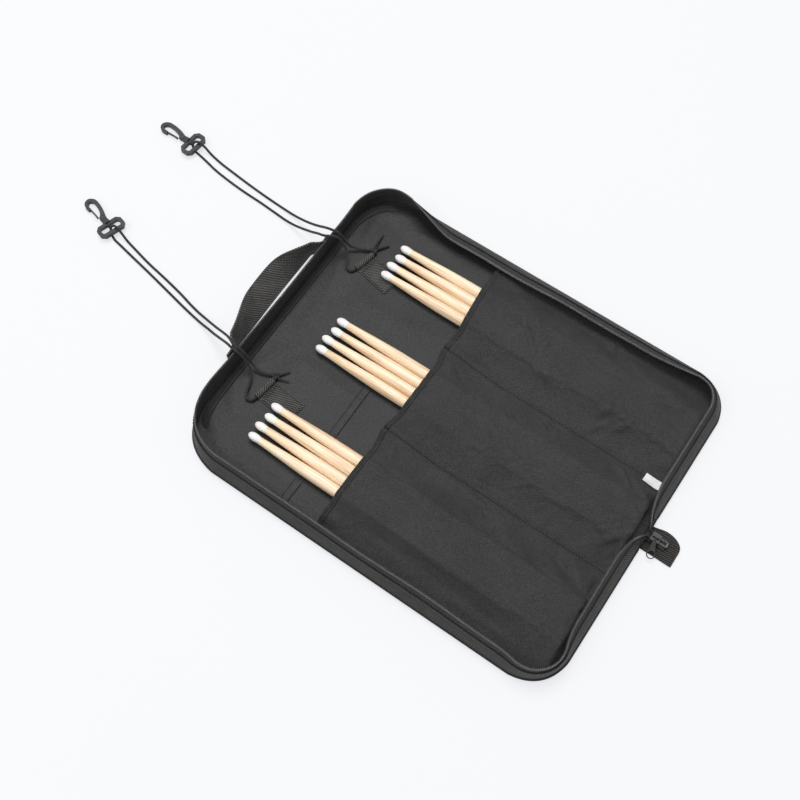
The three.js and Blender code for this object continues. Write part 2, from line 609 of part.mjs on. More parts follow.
function hookBody() {
  const centreline = [[0.8, 18.5], [3.2, 24], [5, 31], [5.9, 39], [5.3, 45.5], [0.6, 49.8], [-4.4, 47],
    [-5.9, 41.5], [-5.5, 37.2]];
  const bend = slab(barOutline(centreline, [6.5, 5, 4.4, 4.2, 4.4, 4.2, 3.2], 22), -HOOK_T / 2, HOOK_T);
  const stem = turned([[0, 2.2], [2.6, 2.2], [2.6, 4], [STEM_R, 4], [STEM_R, FRAME_TOP_Y + GAP],
    [4, FRAME_TOP_Y + GAP], [4.4, 17.5], [3.6, 20.5], [0, 20.5]]);
  return joined(bend, stem);
}

// The sprung gate runs from the hook's foot to the inside of its tip.
const GATE_FOOT = [-4.4, 21.6];
const GATE_TIP = [-4.6, 36.4];

function hookGate() {
  return slab(barOutline([GATE_FOOT, [-4.3, 28], GATE_TIP], [1.8, 1.5, 1.9], 4), -1.3, 2.6);
}

function addHooks() {
  for (const [leaf, place] of Object.entries(hooks)) {
    const hook = new THREE.Group();
    hook.rotation.order = 'ZXY';
    hook.rotation.set(HOOK_PITCH, 0, place.yaw);
    hook.position.set(place.x, place.y, HOOK_Z);
    group.add(hook);
    add(`${leaf}_hook_frame`, hookFrame(), hookPlastic, hook);
    add(`${leaf}_hook`, hookBody(), hookPlastic, hook);
    add(`${leaf}_hook_gate`, hookGate(), hookPlastic, hook);
  }
}

// ---- zip end, slider, puller and label --------------------------------------------------------------
const TAB_T = 1.6;
const TAB_Z = 0.4;
const ZIP_X = 3;               // the closed end of the zip runs out over the tab here
const CHAIN_Z = 6.6;           // middle of the zip's teeth
const SLIDER_Y = -249;

function endTab() {
  const shape = new THREE.Shape();
  shape.moveTo(-14, -HALF_LENGTH - 0.5);
  shape.lineTo(-14, -HALF_LENGTH - 37);
  shape.lineTo(3, -HALF_LENGTH - 37);
  shape.absarc(3, -HALF_LENGTH - 24, 13, -Math.PI / 2, 0, false);
  shape.lineTo(16, -HALF_LENGTH - 0.5);
  shape.closePath();
  return slab(shape, TAB_Z, TAB_T, 10);
}

// Two rows of teeth on the last of the tape, side by side with room for the slider's post between them.
function zipEnd() {
  const row = (x) => rectangle(x - 1.25, -HALF_LENGTH - 22, x + 1.25, -HALF_LENGTH + 0.4);
  const teeth = [-2.15, 2.15].map((dx) => slab(row(ZIP_X + dx), CHAIN_Z - 1, 2));
  const stop = slab(rectangle(ZIP_X - 3.4, -HALF_LENGTH - 24, ZIP_X + 3.4, -HALF_LENGTH - 21.5),
    TAB_Z + TAB_T + GAP,
    CHAIN_Z + 1.1 - TAB_Z - TAB_T - GAP);
  return joined(...teeth, stop);
}

const SLIDER_LENGTH = 10;
const PULLER_FOOT = [ZIP_X - 3.6, SLIDER_Y, CHAIN_Z + 4.1];
const PULLER_TURN = 1.85;
const PULLER_PITCH = -0.3;

function sliderBody() {
  const plate = (z) => slab(rectangle(-5, -SLIDER_LENGTH / 2, 5, SLIDER_LENGTH / 2), z, 1.2);
  const post = slab(rectangle(-0.55, -SLIDER_LENGTH / 2, 0.55, SLIDER_LENGTH / 2), -2, 4);
  const bridgeShape = new THREE.Shape();
  bridgeShape.moveTo(-4, 0);
  bridgeShape.lineTo(-3.4, 3);
  bridgeShape.lineTo(3.4, 3);
  bridgeShape.lineTo(4, 0);
  bridgeShape.lineTo(2.6, 0);
  bridgeShape.lineTo(2.4, 1.8);
  bridgeShape.lineTo(-2.4, 1.8);
  bridgeShape.lineTo(-2.6, 0);
  bridgeShape.closePath();
  const bridge = slab(bridgeShape, -1, 2).rotateX(Math.PI / 2).rotateZ(Math.PI / 2).translate(0, 0, 2.4);
  return joined(plate(-2.5), plate(1.3), post, bridge);
}

// A flat pull tab with a wire ring at its end. Its own +Y points from the slider to the ring.
function pullerBody() {
  const shape = new THREE.Shape();
  shape.moveTo(-1.1, -2);
  shape.lineTo(-3.4, 12);
  shape.lineTo(3.4, 12);
  shape.lineTo(1.1, -2);
  shape.closePath();
  const ring = new THREE.Shape();
  ring.absarc(0, 15.9, 4.8, 0, 2 * Math.PI, false);
  const inside = new THREE.Path();
  inside.absarc(0, 15.9, 3.7, 0, 2 * Math.PI, true);
  ring.holes.push(inside);
  return joined(slab(shape, -0.5, 1), slab(ring, -0.55, 1.1, 12));
}

function addZipEnd() {
  add('zip_end_tab', endTab(), webbing);
  add('zip_end', zipEnd(), zipTape);
  const slider = new THREE.Group();
  slider.position.set(ZIP_X, SLIDER_Y, CHAIN_Z);
  group.add(slider);
  add('zip_slider', sliderBody(), zipMetal, slider);
  const puller = new THREE.Group();
  puller.rotation.order = 'ZXY';
  puller.rotation.set(PULLER_PITCH, 0, PULLER_TURN);
  puller.position.set(...PULLER_FOOT);
  group.add(puller);
  add('zip_puller', pullerBody(), zipMetal, puller);
}

// A blank sewn-in cloth label, lying on the far leaf with its foot in the end seam.
function addLabel() {
  const label = slab(rectangle(-5.2, 0, 5.2, 25), POCKET_Z + POCKET_T + GAP, 0.5);
  label.rotateZ(-0.03).translate(55.4, -HALF_LENGTH + 9.5, 0);
  add('label', label, labelCloth);
}

addLayers();
addLeafWalls();
add('spine_wall_handle_end', spineWall(1, 2), webbing);
add('spine_wall_zip_end', spineWall(-1, 32), webbing);
addPockets();
addSticks();
add('handle', handleStrap(), webbing);
addWebbingLoops();
addCords();
addHooks();
addZipEnd();
addLabel();

export default group;
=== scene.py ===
"""The looks of a drum stick bag lying open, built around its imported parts. Shapes are in millimetres."""
import math

import bpy
import numpy as np
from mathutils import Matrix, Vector


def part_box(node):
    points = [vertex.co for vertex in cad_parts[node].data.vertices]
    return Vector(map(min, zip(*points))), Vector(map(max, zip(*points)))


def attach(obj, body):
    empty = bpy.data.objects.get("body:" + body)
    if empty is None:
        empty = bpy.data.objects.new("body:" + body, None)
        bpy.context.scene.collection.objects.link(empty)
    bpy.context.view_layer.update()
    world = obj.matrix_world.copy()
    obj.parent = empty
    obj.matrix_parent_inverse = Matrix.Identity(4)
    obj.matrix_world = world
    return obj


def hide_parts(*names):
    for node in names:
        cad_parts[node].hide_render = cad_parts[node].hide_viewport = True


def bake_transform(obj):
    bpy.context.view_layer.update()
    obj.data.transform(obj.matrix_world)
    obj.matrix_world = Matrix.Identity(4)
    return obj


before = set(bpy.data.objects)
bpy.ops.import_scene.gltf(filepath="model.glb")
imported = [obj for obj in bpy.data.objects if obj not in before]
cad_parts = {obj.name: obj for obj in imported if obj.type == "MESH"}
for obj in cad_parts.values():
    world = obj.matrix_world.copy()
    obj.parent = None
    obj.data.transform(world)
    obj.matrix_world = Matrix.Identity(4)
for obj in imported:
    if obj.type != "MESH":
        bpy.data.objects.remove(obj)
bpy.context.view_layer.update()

MM = 0.001
UP = (0, 0, 1.0)


# ---- sizes read from the frame -----------------------------------------------------------------------
def node_box(node):
    """A CAD node's lowest and highest corner, in millimetres."""
    low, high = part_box(node)
    return np.array(low) / MM, np.array(high) / MM


leaf_low, leaf_high = node_box("far_outer_cloth")
HALF_WIDTH = leaf_high[0]
HALF_LENGTH = -leaf_low[1]
PANEL_TOP = node_box("near_lining")[1][2]
WALL_INSET = 1.5
HANDLE_CORNER = {-1: 58.0, 1: 52.0}
ZIP_CORNER = 42.0
WALL_FOOT_Z = PANEL_TOP + 1.0
WALL_H = 26.8
ZIP_X = 3.0
MOUTH_Y = node_box("near_pocket")[1][1]
STICK_R = 6.7
SIDES = {"near": -1, "far": 1}


# ---- mesh building -----------------------------------------------------------------------------------
def new_object(name, points, faces, strip=None, smooth=True):
    """A mesh object from points in millimetres. strip is a 3-vector per point, for materials to read."""
    mesh = bpy.data.meshes.new(name)
    mesh.from_pydata((np.asarray(points, float) * MM).tolist(), [], [list(f) for f in faces])
    mesh.validate()
    if strip is not None:
        attribute = mesh.attributes.new("strip", "FLOAT_VECTOR", "POINT")
        attribute.data.foreach_set("vector", (np.asarray(strip, float) * MM).astype(np.float32).ravel())
    if smooth:
        mesh.shade_smooth()
        mesh.set_sharp_from_angle(angle=math.radians(50))
    obj = bpy.data.objects.new(name, mesh)
    bpy.context.scene.collection.objects.link(obj)
    return obj


def grid_normals(P):
    """Unit normals of a grid of points P[i, j]."""
    du = np.gradient(P, axis=0)
    dv = np.gradient(P, axis=1)
    n = np.cross(du, dv)
    return n / np.maximum(np.linalg.norm(n, axis=2, keepdims=True), 1e-9)


def grid_faces(rows, columns, start=0, flip=False):
    faces = []
    for i in range(rows - 1):
        for j in range(columns - 1):
            a = start + i * columns + j
            quad = (a, a + columns, a + columns + 1, a + 1)
            faces.append(quad[::-1] if flip else quad)
    return faces


def thick_sheet(P, thickness, strip=None, offset=0.0):
    """A closed sheet on both sides of a grid: points, faces and strip values."""
    rows, columns, _ = P.shape
    n = grid_normals(P)
    top = P + n * (offset + thickness / 2)
    bottom = P + n * (offset - thickness / 2)
    points = np.concatenate([top.reshape(-1, 3), bottom.reshape(-1, 3)])
    count = rows * columns
    faces = grid_faces(rows, columns) + grid_faces(rows, columns, count, flip=True)
    ring = [(i, 0) for i in range(rows)] + [(rows - 1, j) for j in range(1, columns)]
    ring += [(i, columns - 1) for i in range(rows - 2, -1, -1)] + [(0, j) for j in range(columns - 2, 0, -1)]
    for k in range(len(ring)):
        a = ring[k][0] * columns + ring[k][1]
        b = ring[(k + 1) % len(ring)][0] * columns + ring[(k + 1) % len(ring)][1]
        faces.append((b, a, a + count, b + count))
    if strip is not None:
        strip = np.concatenate([strip.reshape(-1, 3), strip.reshape(-1, 3)])
    return points, faces, strip


class Pile:
    """Collects points, faces and strip values of many small shapes for one object."""

    def __init__(self):
        self.points, self.faces, self.strips = [], [], []
        self.count = 0

    def add(self, points, faces, strip=None):
        points = np.asarray(points, float)
        self.points.append(points)
        self.faces += [tuple(k + self.count for k in f) for f in faces]
        self.strips.append(np.zeros_like(points) if strip is None else np.asarray(strip, float))
        self.count += len(points)

    def build(self, name, smooth=True):
        points = np.concatenate(self.points)
        return new_object(name, points, self.faces, np.concatenate(self.strips), smooth)


def distance_along(path):
    """How far along a path each of its points is."""
    return np.concatenate([[0], np.cumsum(np.linalg.norm(np.diff(path, axis=0), axis=1))])


def frames_along(path):
    """Tangents and two cross directions along a path of points."""
    path = np.asarray(path, float)
    tangent = np.gradient(path, axis=0)
    tangent /= np.maximum(np.linalg.norm(tangent, axis=1, keepdims=True), 1e-9)
    side = np.zeros_like(tangent)
    last = np.cross(UP, tangent[0])
    if np.linalg.norm(last) < 1e-3:
        last = np.cross((1.0, 0, 0), tangent[0])
    for k, t in enumerate(tangent):
        last = last - t * (last @ t)
        last /= np.linalg.norm(last)
        side[k] = last
    return tangent, side, np.cross(tangent, side)


def ring_faces(rings, sides, flip=False):
    """The faces of a closed tube made of rings of points. flip turns them over."""
    faces = []
    for i in range(rings - 1):
        for j in range(sides):
            a, b = i * sides + j, i * sides + (j + 1) % sides
            faces.append((a, a + sides, b + sides, b) if flip else (a, b, b + sides, a + sides))
    first = tuple(range(sides))
    last = tuple(range((rings - 1) * sides, rings * sides))
    return faces + ([first, last[::-1]] if flip else [first[::-1], last])


def tube_shape(path, radius, sides=10):
    """A round tube along a path. radius is one number or one for each point."""
    path = np.asarray(path, float)
    _, side, other = frames_along(path)
    radius = np.broadcast_to(np.asarray(radius, float), (len(path),))
    angles = np.arange(sides) * 2 * math.pi / sides
    c, s = np.cos(angles)[None, :, None], np.sin(angles)[None, :, None]
    ring = c * side[:, None, :] + s * other[:, None, :]
    points = (path[:, None, :] + ring * radius[:, None, None]).reshape(-1, 3)
    along = distance_along(path)
    strip = np.zeros((len(path), sides, 3))
    strip[:, :, 0] = along[:, None]
    strip[:, :, 1] = angles[None, :] * radius.max()
    return points, ring_faces(len(path), sides), strip.reshape(-1, 3)


def resample(points, step):
    """A smooth curve through given points, resampled at equal steps."""
    points = np.asarray(points, float)
    knots = np.concatenate([[0], np.cumsum(np.linalg.norm(np.diff(points, axis=0), axis=1) ** 0.5)])
    padded = np.vstack([2 * points[0] - points[1], points, 2 * points[-1] - points[-2]])
    knots = np.concatenate([[-knots[1]], knots, [2 * knots[-1] - knots[-2]]])
    fine = []
    for i in range(1, len(padded) - 2):
        p0, p1, p2, p3 = padded[i - 1:i + 3]
        t0, t1, t2, t3 = knots[i - 1:i + 3]
        for t in np.linspace(t1, t2, 12, endpoint=False):
            a1 = (t1 - t) / (t1 - t0) * p0 + (t - t0) / (t1 - t0) * p1
            a2 = (t2 - t) / (t2 - t1) * p1 + (t - t1) / (t2 - t1) * p2
            a3 = (t3 - t) / (t3 - t2) * p2 + (t - t2) / (t3 - t2) * p3
            b1 = (t2 - t) / (t2 - t0) * a1 + (t - t0) / (t2 - t0) * a2
            b2 = (t3 - t) / (t3 - t1) * a2 + (t - t1) / (t3 - t1) * a3
            fine.append((t2 - t) / (t2 - t1) * b1 + (t - t1) / (t2 - t1) * b2)
    fine.append(points[-1])
    return even(np.array(fine), step)


def even(path, step):
    """The same path with points at equal steps."""
    path = np.asarray(path, float)
    along = distance_along(path)
    count = max(2, int(round(along[-1] / step)) + 1)
    at = np.linspace(0, along[-1], count)
    return np.stack([np.interp(at, along, path[:, k]) for k in range(3)], axis=1)


def smooth01(t):
    t = np.clip(t, 0, 1)
    return t * t * (3 - 2 * t)


def turned(x, y, degrees):
    """x and y measured in axes turned by that angle."""
    c, s = math.cos(math.radians(degrees)), math.sin(math.radians(degrees))
    return x * c + y * s, -x * s + y * c


def crossing(x, y):
    """A grid from two rows of numbers, [along x, along y]: its X and its Y."""
    return np.repeat(x[:, None], len(y), 1), np.repeat(y[None, :], len(x), 0)


def level_strip(X, Y):
    """Strip values for a piece of cloth whose threads run along X and Y."""
    return np.stack([X, Y, X * 0], axis=2)


def ripple(x, y, seed, scale):
    """Soft rolling noise from a few crossed waves, about -1 to 1."""
    r = np.random.default_rng(seed)
    total = np.zeros(np.broadcast(np.asarray(x), np.asarray(y)).shape)
    for _ in range(9):
        angle, phase = r.uniform(0, 2 * math.pi, 2)
        length = scale * r.uniform(0.6, 1.7)
        wave = (np.cos(angle) * x + np.sin(angle) * y) * 2 * math.pi / length
        total = total + np.sin(wave + phase)
    return total / 5.0


def thread_line(pile, path, normals, pitch=3.4, length=2.7, radius=0.28, lift=0.15):
    """Machine stitches along a path: small rounded threads. normals is one direction or one per point."""
    path = np.asarray(path, float)
    normals = np.broadcast_to(np.asarray(normals, float), path.shape)
    along = distance_along(path)
    count = int(along[-1] / pitch)
    for k in range(count):
        at = (k + 0.5) * pitch + np.linspace(-length / 2, length / 2, 5)
        point = np.stack([np.interp(at, along, path[:, a]) for a in range(3)], axis=1)
        normal = np.stack([np.interp(at, along, normals[:, a]) for a in range(3)], axis=1)
        rise = lift - np.array([1.0, 0.25, 0, 0.25, 1.0]) * radius * 1.4
        thread = point + normal * rise[:, None]
        pile.add(*tube_shape(thread, radius * np.array([0.6, 0.95, 1, 0.95, 0.6]), sides=6))


# ---- materials ---------------------------------------------------------------------------------------
class Shader:
    """A small helper for wiring a material's nodes."""

    def __init__(self, name):
        self.material = bpy.data.materials.new(name)
        self.material.use_nodes = True
        self.tree = self.material.node_tree
        self.bsdf = self.tree.nodes["Principled BSDF"]

    def node(self, kind, **settings):
        made = self.tree.nodes.new(kind)
        for key, value in settings.items():
            setattr(made, key, value)
        return made

    def link(self, output, target):
        self.tree.links.new(output, target)

    def set(self, **values):
        for key, value in values.items():
            self.bsdf.inputs[key.replace("_", " ")].default_value = value

    def math(self, operation, a, b=None, clamp=False):
        made = self.node("ShaderNodeMath", operation=operation, use_clamp=clamp)
        for socket, value in zip(made.inputs, (a, b)):
            if value is None:
                continue
            if isinstance(value, (int, float)):
                socket.default_value = value
            else:
                self.link(value, socket)
        return made.outputs[0]

    def add(self, a, b, clamp=False):
        return self.math("ADD", a, b, clamp)

    def times(self, a, b):
        return self.math("MULTIPLY", a, b)

    def shine(self, mixed):
        """Makes raised threads shine and gaps dull."""
        self.link(self.times(mixed, SHINE), self.bsdf.inputs["Specular IOR Level"])

    def coordinates(self, strip=False):
        """X, Y and Z in metres: along the cloth if strip, else in the bag's own frame."""
        if strip:
            source = self.node("ShaderNodeAttribute", attribute_name="strip").outputs["Vector"]
        else:
            source = self.node("ShaderNodeTexCoord").outputs["Object"]
        split = self.node("ShaderNodeSeparateXYZ")
        self.link(source, split.inputs[0])
        return source, split.outputs

    def wave(self, value, pitch, phase=0.0):
        """A sine of 0 to 1 with that pitch in millimetres."""
        turned = self.times(value, 2 * math.pi / (pitch * MM))
        if phase:
            turned = self.add(turned, phase)
        return self.add(self.times(self.math("SINE", turned), 0.5), 0.5)

    def noise(self, vector, size, detail=3.0, roughness=0.55):
        made = self.node("ShaderNodeTexNoise")
        made.inputs["Scale"].default_value = 1.0 / (size * MM)
        made.inputs["Detail"].default_value = detail
        made.inputs["Roughness"].default_value = roughness
        self.link(vector, made.inputs["Vector"])
        return made.outputs["Fac"]

    def ramp(self, value, stops):
        made = self.node("ShaderNodeValToRGB")
        ramp = made.color_ramp
        while len(ramp.elements) < len(stops):
            ramp.elements.new(0.5)
        for element, (place, color) in zip(ramp.elements, stops):
            element.position = place
            element.color = (*color, 1)
        self.link(value, made.inputs[0])
        return made.outputs[0]

    def bump(self, height, distance, strength=1.0, under=None):
        made = self.node("ShaderNodeBump")
        made.inputs["Distance"].default_value = distance * MM
        made.inputs["Strength"].default_value = strength
        self.link(height, made.inputs["Height"])
        if under is not None:
            self.link(under, made.inputs["Normal"])
        return made.outputs[0]

    def finish(self, color=None, roughness=None, normal=None):
        if color is not None:
            self.link(color, self.bsdf.inputs["Base Color"])
        if roughness is not None:
            self.link(roughness, self.bsdf.inputs["Roughness"])
        if normal is not None:
            self.link(normal, self.bsdf.inputs["Normal"])
        return self.material


SHINE = 0.8                   # how much of a raised thread's shine is kept


def scaled(color, factor):
    return tuple(c * factor for c in color)


def woven(name, color, pitch, strip=False, rough=(0.56, 0.72), sheen=0.10, depth=0.25, lit_tops_and_wear=1.65, ribs=0.0):
    """Cloth of crossed threads: each thread is painted lit on top and shaded in the gaps, with soft uneven
    wear.
    """
    s = Shader(name)
    vector, xyz = s.coordinates(strip)
    warp = s.wave(xyz[0], pitch)
    weft = s.wave(xyz[1], pitch * 0.92)
    over = s.wave(s.add(xyz[0], xyz[1]), pitch * 1.9)
    under = s.math("SUBTRACT", 1.0, over)
    threads = s.add(s.times(warp, over), s.times(weft, under))
    patches = s.noise(vector, 34, 4)
    fuzz = s.noise(vector, 1.9, 2)
    twill = s.wave(s.add(xyz[0], s.times(xyz[1], 0.6)), pitch * 1.6)
    mixed = s.add(s.times(threads, 0.26), s.times(patches, 0.30))
    mixed = s.add(mixed, s.times(s.math("SUBTRACT", fuzz, 0.22), 0.62))
    mixed = s.add(mixed, s.times(twill, 0.12), clamp=True)
    s.shine(mixed)
    # The colour ramp paints each thread lighter on top and darker in its gaps (painted highlight and shade),
    # mixed with random wear.
    tone = s.ramp(mixed, [(0.2, scaled(color, 0.5)), (0.5, color), (0.8, scaled(color, lit_tops_and_wear))])
    roughness = s.add(s.times(patches, rough[1] - rough[0]), rough[0])
    height = s.add(threads, s.times(fuzz, 0.35))
    normal = s.bump(height, depth)
    if ribs:
        normal = s.bump(s.wave(xyz[0], ribs), depth * 1.6, 0.8, under=normal)
    s.set(Sheen_Weight=sheen, Sheen_Roughness=0.5)
    return s.finish(tone, roughness, normal)


def webbing_material(name, color, pitch, slant=0.0, across=2.4, depth=0.4, rough=(0.62, 0.8)):
    """Ribbed webbing: ribs at a pitch along the strap, slanted by slant, broken into beads across it, with
    painted highlight on the raised beads and painted shade between them.
    """
    s = Shader(name)
    vector, xyz = s.coordinates(strip=True)
    run = s.add(xyz[0], s.times(xyz[1], slant)) if slant else xyz[0]
    ribs = s.wave(run, pitch)
    beads = s.wave(xyz[1], across)
    patches = s.noise(vector, 16, 3)
    fuzz = s.noise(vector, 0.9, 2)
    height = s.add(s.times(ribs, 0.55), s.times(s.times(ribs, beads), 0.8))
    mixed = s.add(s.times(height, 0.42), s.times(patches, 0.3))
    mixed = s.add(mixed, s.times(fuzz, 0.12), clamp=True)
    s.shine(mixed)
    # The colour ramp paints the raised beads lighter and the gaps darker: painted highlight and shade, with
    # random tone from the noise.
    tone = s.ramp(mixed, [(0.2, scaled(color, 0.2)), (0.5, color), (0.78, scaled(color, 2.4))])
    roughness = s.add(s.times(patches, rough[1] - rough[0]), rough[0])
    s.set(Sheen_Weight=0.1, Sheen_Roughness=0.5)
    return s.finish(tone, roughness, s.bump(height, depth, 0.9))


LINING_TONES = [(0.2, (0.010, 0.010, 0.011)), (0.5, (0.016, 0.016, 0.017)), (0.8, (0.024, 0.024, 0.025))]


def lining_material():
    """Smooth coated nylon: a very fine weave and a soft, cloudy shine."""
    s = Shader("lining_nylon")
    vector, xyz = s.coordinates()
    weave = s.times(s.wave(xyz[0], 0.7), s.wave(xyz[1], 0.7))
    clouds = s.noise(vector, 60, 3)
    grain = s.noise(vector, 1.8, 3)
    mixed = s.add(s.times(clouds, 0.36), s.times(s.math("SUBTRACT", grain, 0.1), 0.6))
    mixed = s.add(mixed, s.times(weave, 0.12), clamp=True)
    s.shine(mixed)
    tone = s.ramp(mixed, LINING_TONES)
    roughness = s.add(s.times(clouds, 0.14), 0.46)
    height = s.add(s.times(weave, 0.5), grain)
    s.set(Sheen_Weight=0.03, Sheen_Roughness=0.4)
    return s.finish(tone, roughness, s.bump(height, 0.12, 0.7))


def moulded_material(name, color, rough, speck=0.25, metal=0.0, coat=0.0):
    """Moulded plastic or lacquered metal with a fine skin texture and rubbed high spots."""
    s = Shader(name)
    vector, _ = s.coordinates()
    skin = s.noise(vector, 0.6, 3)
    rub = s.noise(vector, 5.5, 4)
    tone = s.ramp(rub, [(0.3, scaled(color, 0.8)), (0.55, color), (0.8, scaled(color, 1.45))])
    roughness = s.add(s.times(rub, 0.22), rough - 0.1)
    s.set(Metallic=metal, Coat_Weight=coat, Specular_IOR_Level=0.5)
    return s.finish(tone, roughness, s.bump(skin, 0.05, speck))


WOOD_TONES = [(0.34, (0.60, 0.37, 0.20)), (0.46, (0.82, 0.60, 0.39)), (0.56, (0.90, 0.72, 0.51)),
              (0.68, (0.94, 0.81, 0.63))]


def wood_material():
    """Clear-lacquered wood: long fine grain along the stick, a different streak pattern in each stick."""
    s = Shader("lacquered_wood")
    source = s.node("ShaderNodeTexCoord").outputs["Object"]
    info = s.node("ShaderNodeAttribute", attribute_name="strip").outputs["Vector"]
    shift = s.node("ShaderNodeVectorMath", operation="ADD")
    s.link(source, shift.inputs[0])
    s.link(info, shift.inputs[1])
    stretch = s.node("ShaderNodeVectorMath", operation="MULTIPLY")
    stretch.inputs[1].default_value = (1.0, 0.045, 1.0)
    s.link(shift.outputs[0], stretch.inputs[0])
    streaks = s.noise(stretch.outputs[0], 1.5, 5, 0.6)
    broad = s.noise(stretch.outputs[0], 7.5, 3)
    pores = s.noise(stretch.outputs[0], 0.45, 2)
    mixed = s.add(s.times(streaks, 0.55), s.times(broad, 0.5))
    tone = s.ramp(mixed, WOOD_TONES)
    s.set(Roughness=0.42, Coat_Weight=0.25, Coat_Roughness=0.22, Specular_IOR_Level=0.45)
    return s.finish(tone, None, s.bump(s.add(streaks, s.times(pores, 0.5)), 0.05, 0.6))


def nylon_tip_material():
    s = Shader("white_nylon")
    vector, _ = s.coordinates()
    marks = s.noise(vector, 2.2, 4)
    tone = s.ramp(marks, [(0.3, (0.74, 0.73, 0.70)), (0.6, (0.82, 0.815, 0.79))])
    s.set(Roughness=0.34, Subsurface_Weight=0.25, Subsurface_Scale=0.003, Specular_IOR_Level=0.5)
    return s.finish(tone, None, s.bump(s.noise(vector, 0.8, 2), 0.03, 0.4))


def label_material():
    s = Shader("label_weave")
    vector, xyz = s.coordinates()
    ribs = s.wave(xyz[1], 0.55)
    soil = s.noise(vector, 6, 3)
    tone = s.ramp(s.add(s.times(ribs, 0.3), s.times(soil, 0.6)),
                  [(0.15, (0.70, 0.70, 0.70)), (0.75, (0.84, 0.84, 0.85))])
    s.set(Roughness=0.6, Sheen_Weight=0.1)
    return s.finish(tone, None, s.bump(ribs, 0.08, 0.8))


FLOOR_COLOR = (0.235, 0.235, 0.235)
FLOOR_GLOW = (0.666, 0.674, 0.696)


def floor_material():
    """A lit white sweep: it glows, so that only faint shadows fall on it."""
    s = Shader("pale_floor")
    vector, _ = s.coordinates()
    tint = s.ramp(s.noise(vector, 300, 2), [(0.3, FLOOR_COLOR), (0.7, scaled(FLOOR_COLOR, 1.01))])
    s.set(Roughness=0.9, Specular_IOR_Level=0.0, Emission_Color=(*FLOOR_GLOW, 1), Emission_Strength=1.0)
    return s.finish(tint)


POCKET_COLOR = (0.021, 0.0195, 0.021)
SHELL_COLOR = (0.024, 0.023, 0.024)
materials = {
    "pocket": woven("pocket_polyester", POCKET_COLOR, 1.5),
    "shell": woven("shell_polyester", SHELL_COLOR, 1.1),
    "lining": lining_material(),
    "gusset": webbing_material("gusset_webbing", (0.030, 0.029, 0.027), 2.4, slant=0.7, across=3.1),
    "handle": webbing_material("handle_webbing", (0.078, 0.077, 0.073), 3.0, slant=1.15, across=1.9,
                               depth=0.7),
    "patch": webbing_material("loop_webbing", (0.072, 0.071, 0.067), 2.6, slant=0.7, across=2.6, depth=0.8),
    "tape": woven("zip_tape_weave", (0.028, 0.027, 0.027), 0.9, strip=True, ribs=1.3),
    "binding": woven("binding_tape", (0.012, 0.0115, 0.012), 0.8, strip=True, ribs=1.1),
    "cord": webbing_material("braided_cord", (0.030, 0.029, 0.030), 1.7, slant=1.0, across=1.4, depth=0.35),
    "coil": moulded_material("coil_nylon", (0.085, 0.085, 0.086), 0.32),
    "thread": moulded_material("sewing_thread", (0.060, 0.060, 0.062), 0.6),
    "dark_thread": moulded_material("divider_thread", (0.003, 0.003, 0.003), 0.9),
    "plastic": moulded_material("hook_nylon", (0.034, 0.034, 0.036), 0.45),
    "metal": moulded_material("zip_lacquer", (0.035, 0.035, 0.037), 0.36, metal=0.35, coat=0.3),
    "wood": wood_material(),
    "tip": nylon_tip_material(),
    "label": label_material(),
}


def dress(obj, material):
    obj.data.materials.clear()
    obj.data.materials.append(materials[material])
    return obj


# ---- camera, floor and light -------------------------------------------------------------------------
CAMERA_LENS = 50.45
CAMERA_PLACE = (-0.4697, -0.2170, 1.1168)
CAMERA_TURN = (25.408, -1.4381, -55.4476)
WORLD_STRENGTH = 0.46
# Each light's place, size and power, in metres and watts.
LIGHTS = {"key": ((1.5, 1.2, 5.0), 3.0, 165.0), "fill": ((-2.4, 2.0, 4.0), 3.5, 90.0)}
FLOOR_HALF = 6.0
FLOOR_DROP = 0.0002           # the floor is this far below the bag


def make_camera():
    data = bpy.data.cameras.new("camera")
    data.sensor_width = 36.0
    data.lens = CAMERA_LENS
    camera = bpy.data.objects.new("camera", data)
    bpy.context.scene.collection.objects.link(camera)
    camera.location = CAMERA_PLACE
    camera.rotation_mode = "XYZ"
    camera.rotation_euler = [math.radians(a) for a in CAMERA_TURN]
    bpy.context.scene.camera = camera


def make_stage():
    mesh = bpy.data.meshes.new("floor")
    corners = [(FLOOR_HALF * x, FLOOR_HALF * y, 0) for x, y in ((-1, -1), (1, -1), (1, 1), (-1, 1))]
    mesh.from_pydata(corners, [], [(0, 1, 2, 3)])
    floor = bpy.data.objects.new("floor", mesh)
    floor.location.z = -FLOOR_DROP
    mesh.materials.append(floor_material())
    bpy.context.scene.collection.objects.link(floor)


def area_light(name, place, size, power):
    """A round lamp that shines at the middle of the bag."""
    data = bpy.data.lights.new(name, "AREA")
    data.shape = "DISK"
    data.size = size
    data.energy = power
    light = bpy.data.objects.new(name, data)
    light.location = place
    light.rotation_euler = (-Vector(place)).to_track_quat("-Z", "Y").to_euler()
    bpy.context.scene.collection.objects.link(light)


def make_light():
    world = bpy.data.worlds.new("studio")
    world.use_nodes = True
    world.node_tree.nodes["Background"].inputs[0].default_value = (1.0, 0.99, 0.98, 1)
    world.node_tree.nodes["Background"].inputs[1].default_value = WORLD_STRENGTH
    bpy.context.scene.world = world
    for name, (place, size, power) in LIGHTS.items():
        area_light(name, place, size, power)
    settings = bpy.context.scene.view_settings
    settings.view_transform = "Standard"
    settings.look = "None"


# ---- the bag's outline and its walls -----------------------------------------------------------------
def corner(a, control, b, count=14):
    """A rounded corner between two straight edges, without its first point."""
    t = np.linspace(0, 1, count + 1)[1:, None]
    a, control, b = (np.asarray(p, float) for p in (a, control, b))
    return (1 - t) ** 2 * a + 2 * t * (1 - t) * control + t ** 2 * b


def handle_end(x):
    """The handle end of the base at x: it runs a little askew."""
    return HALF_LENGTH + np.interp(x, [-203, -110, 60, 203], [-5.2, -7.95, -0.3, 3.3])


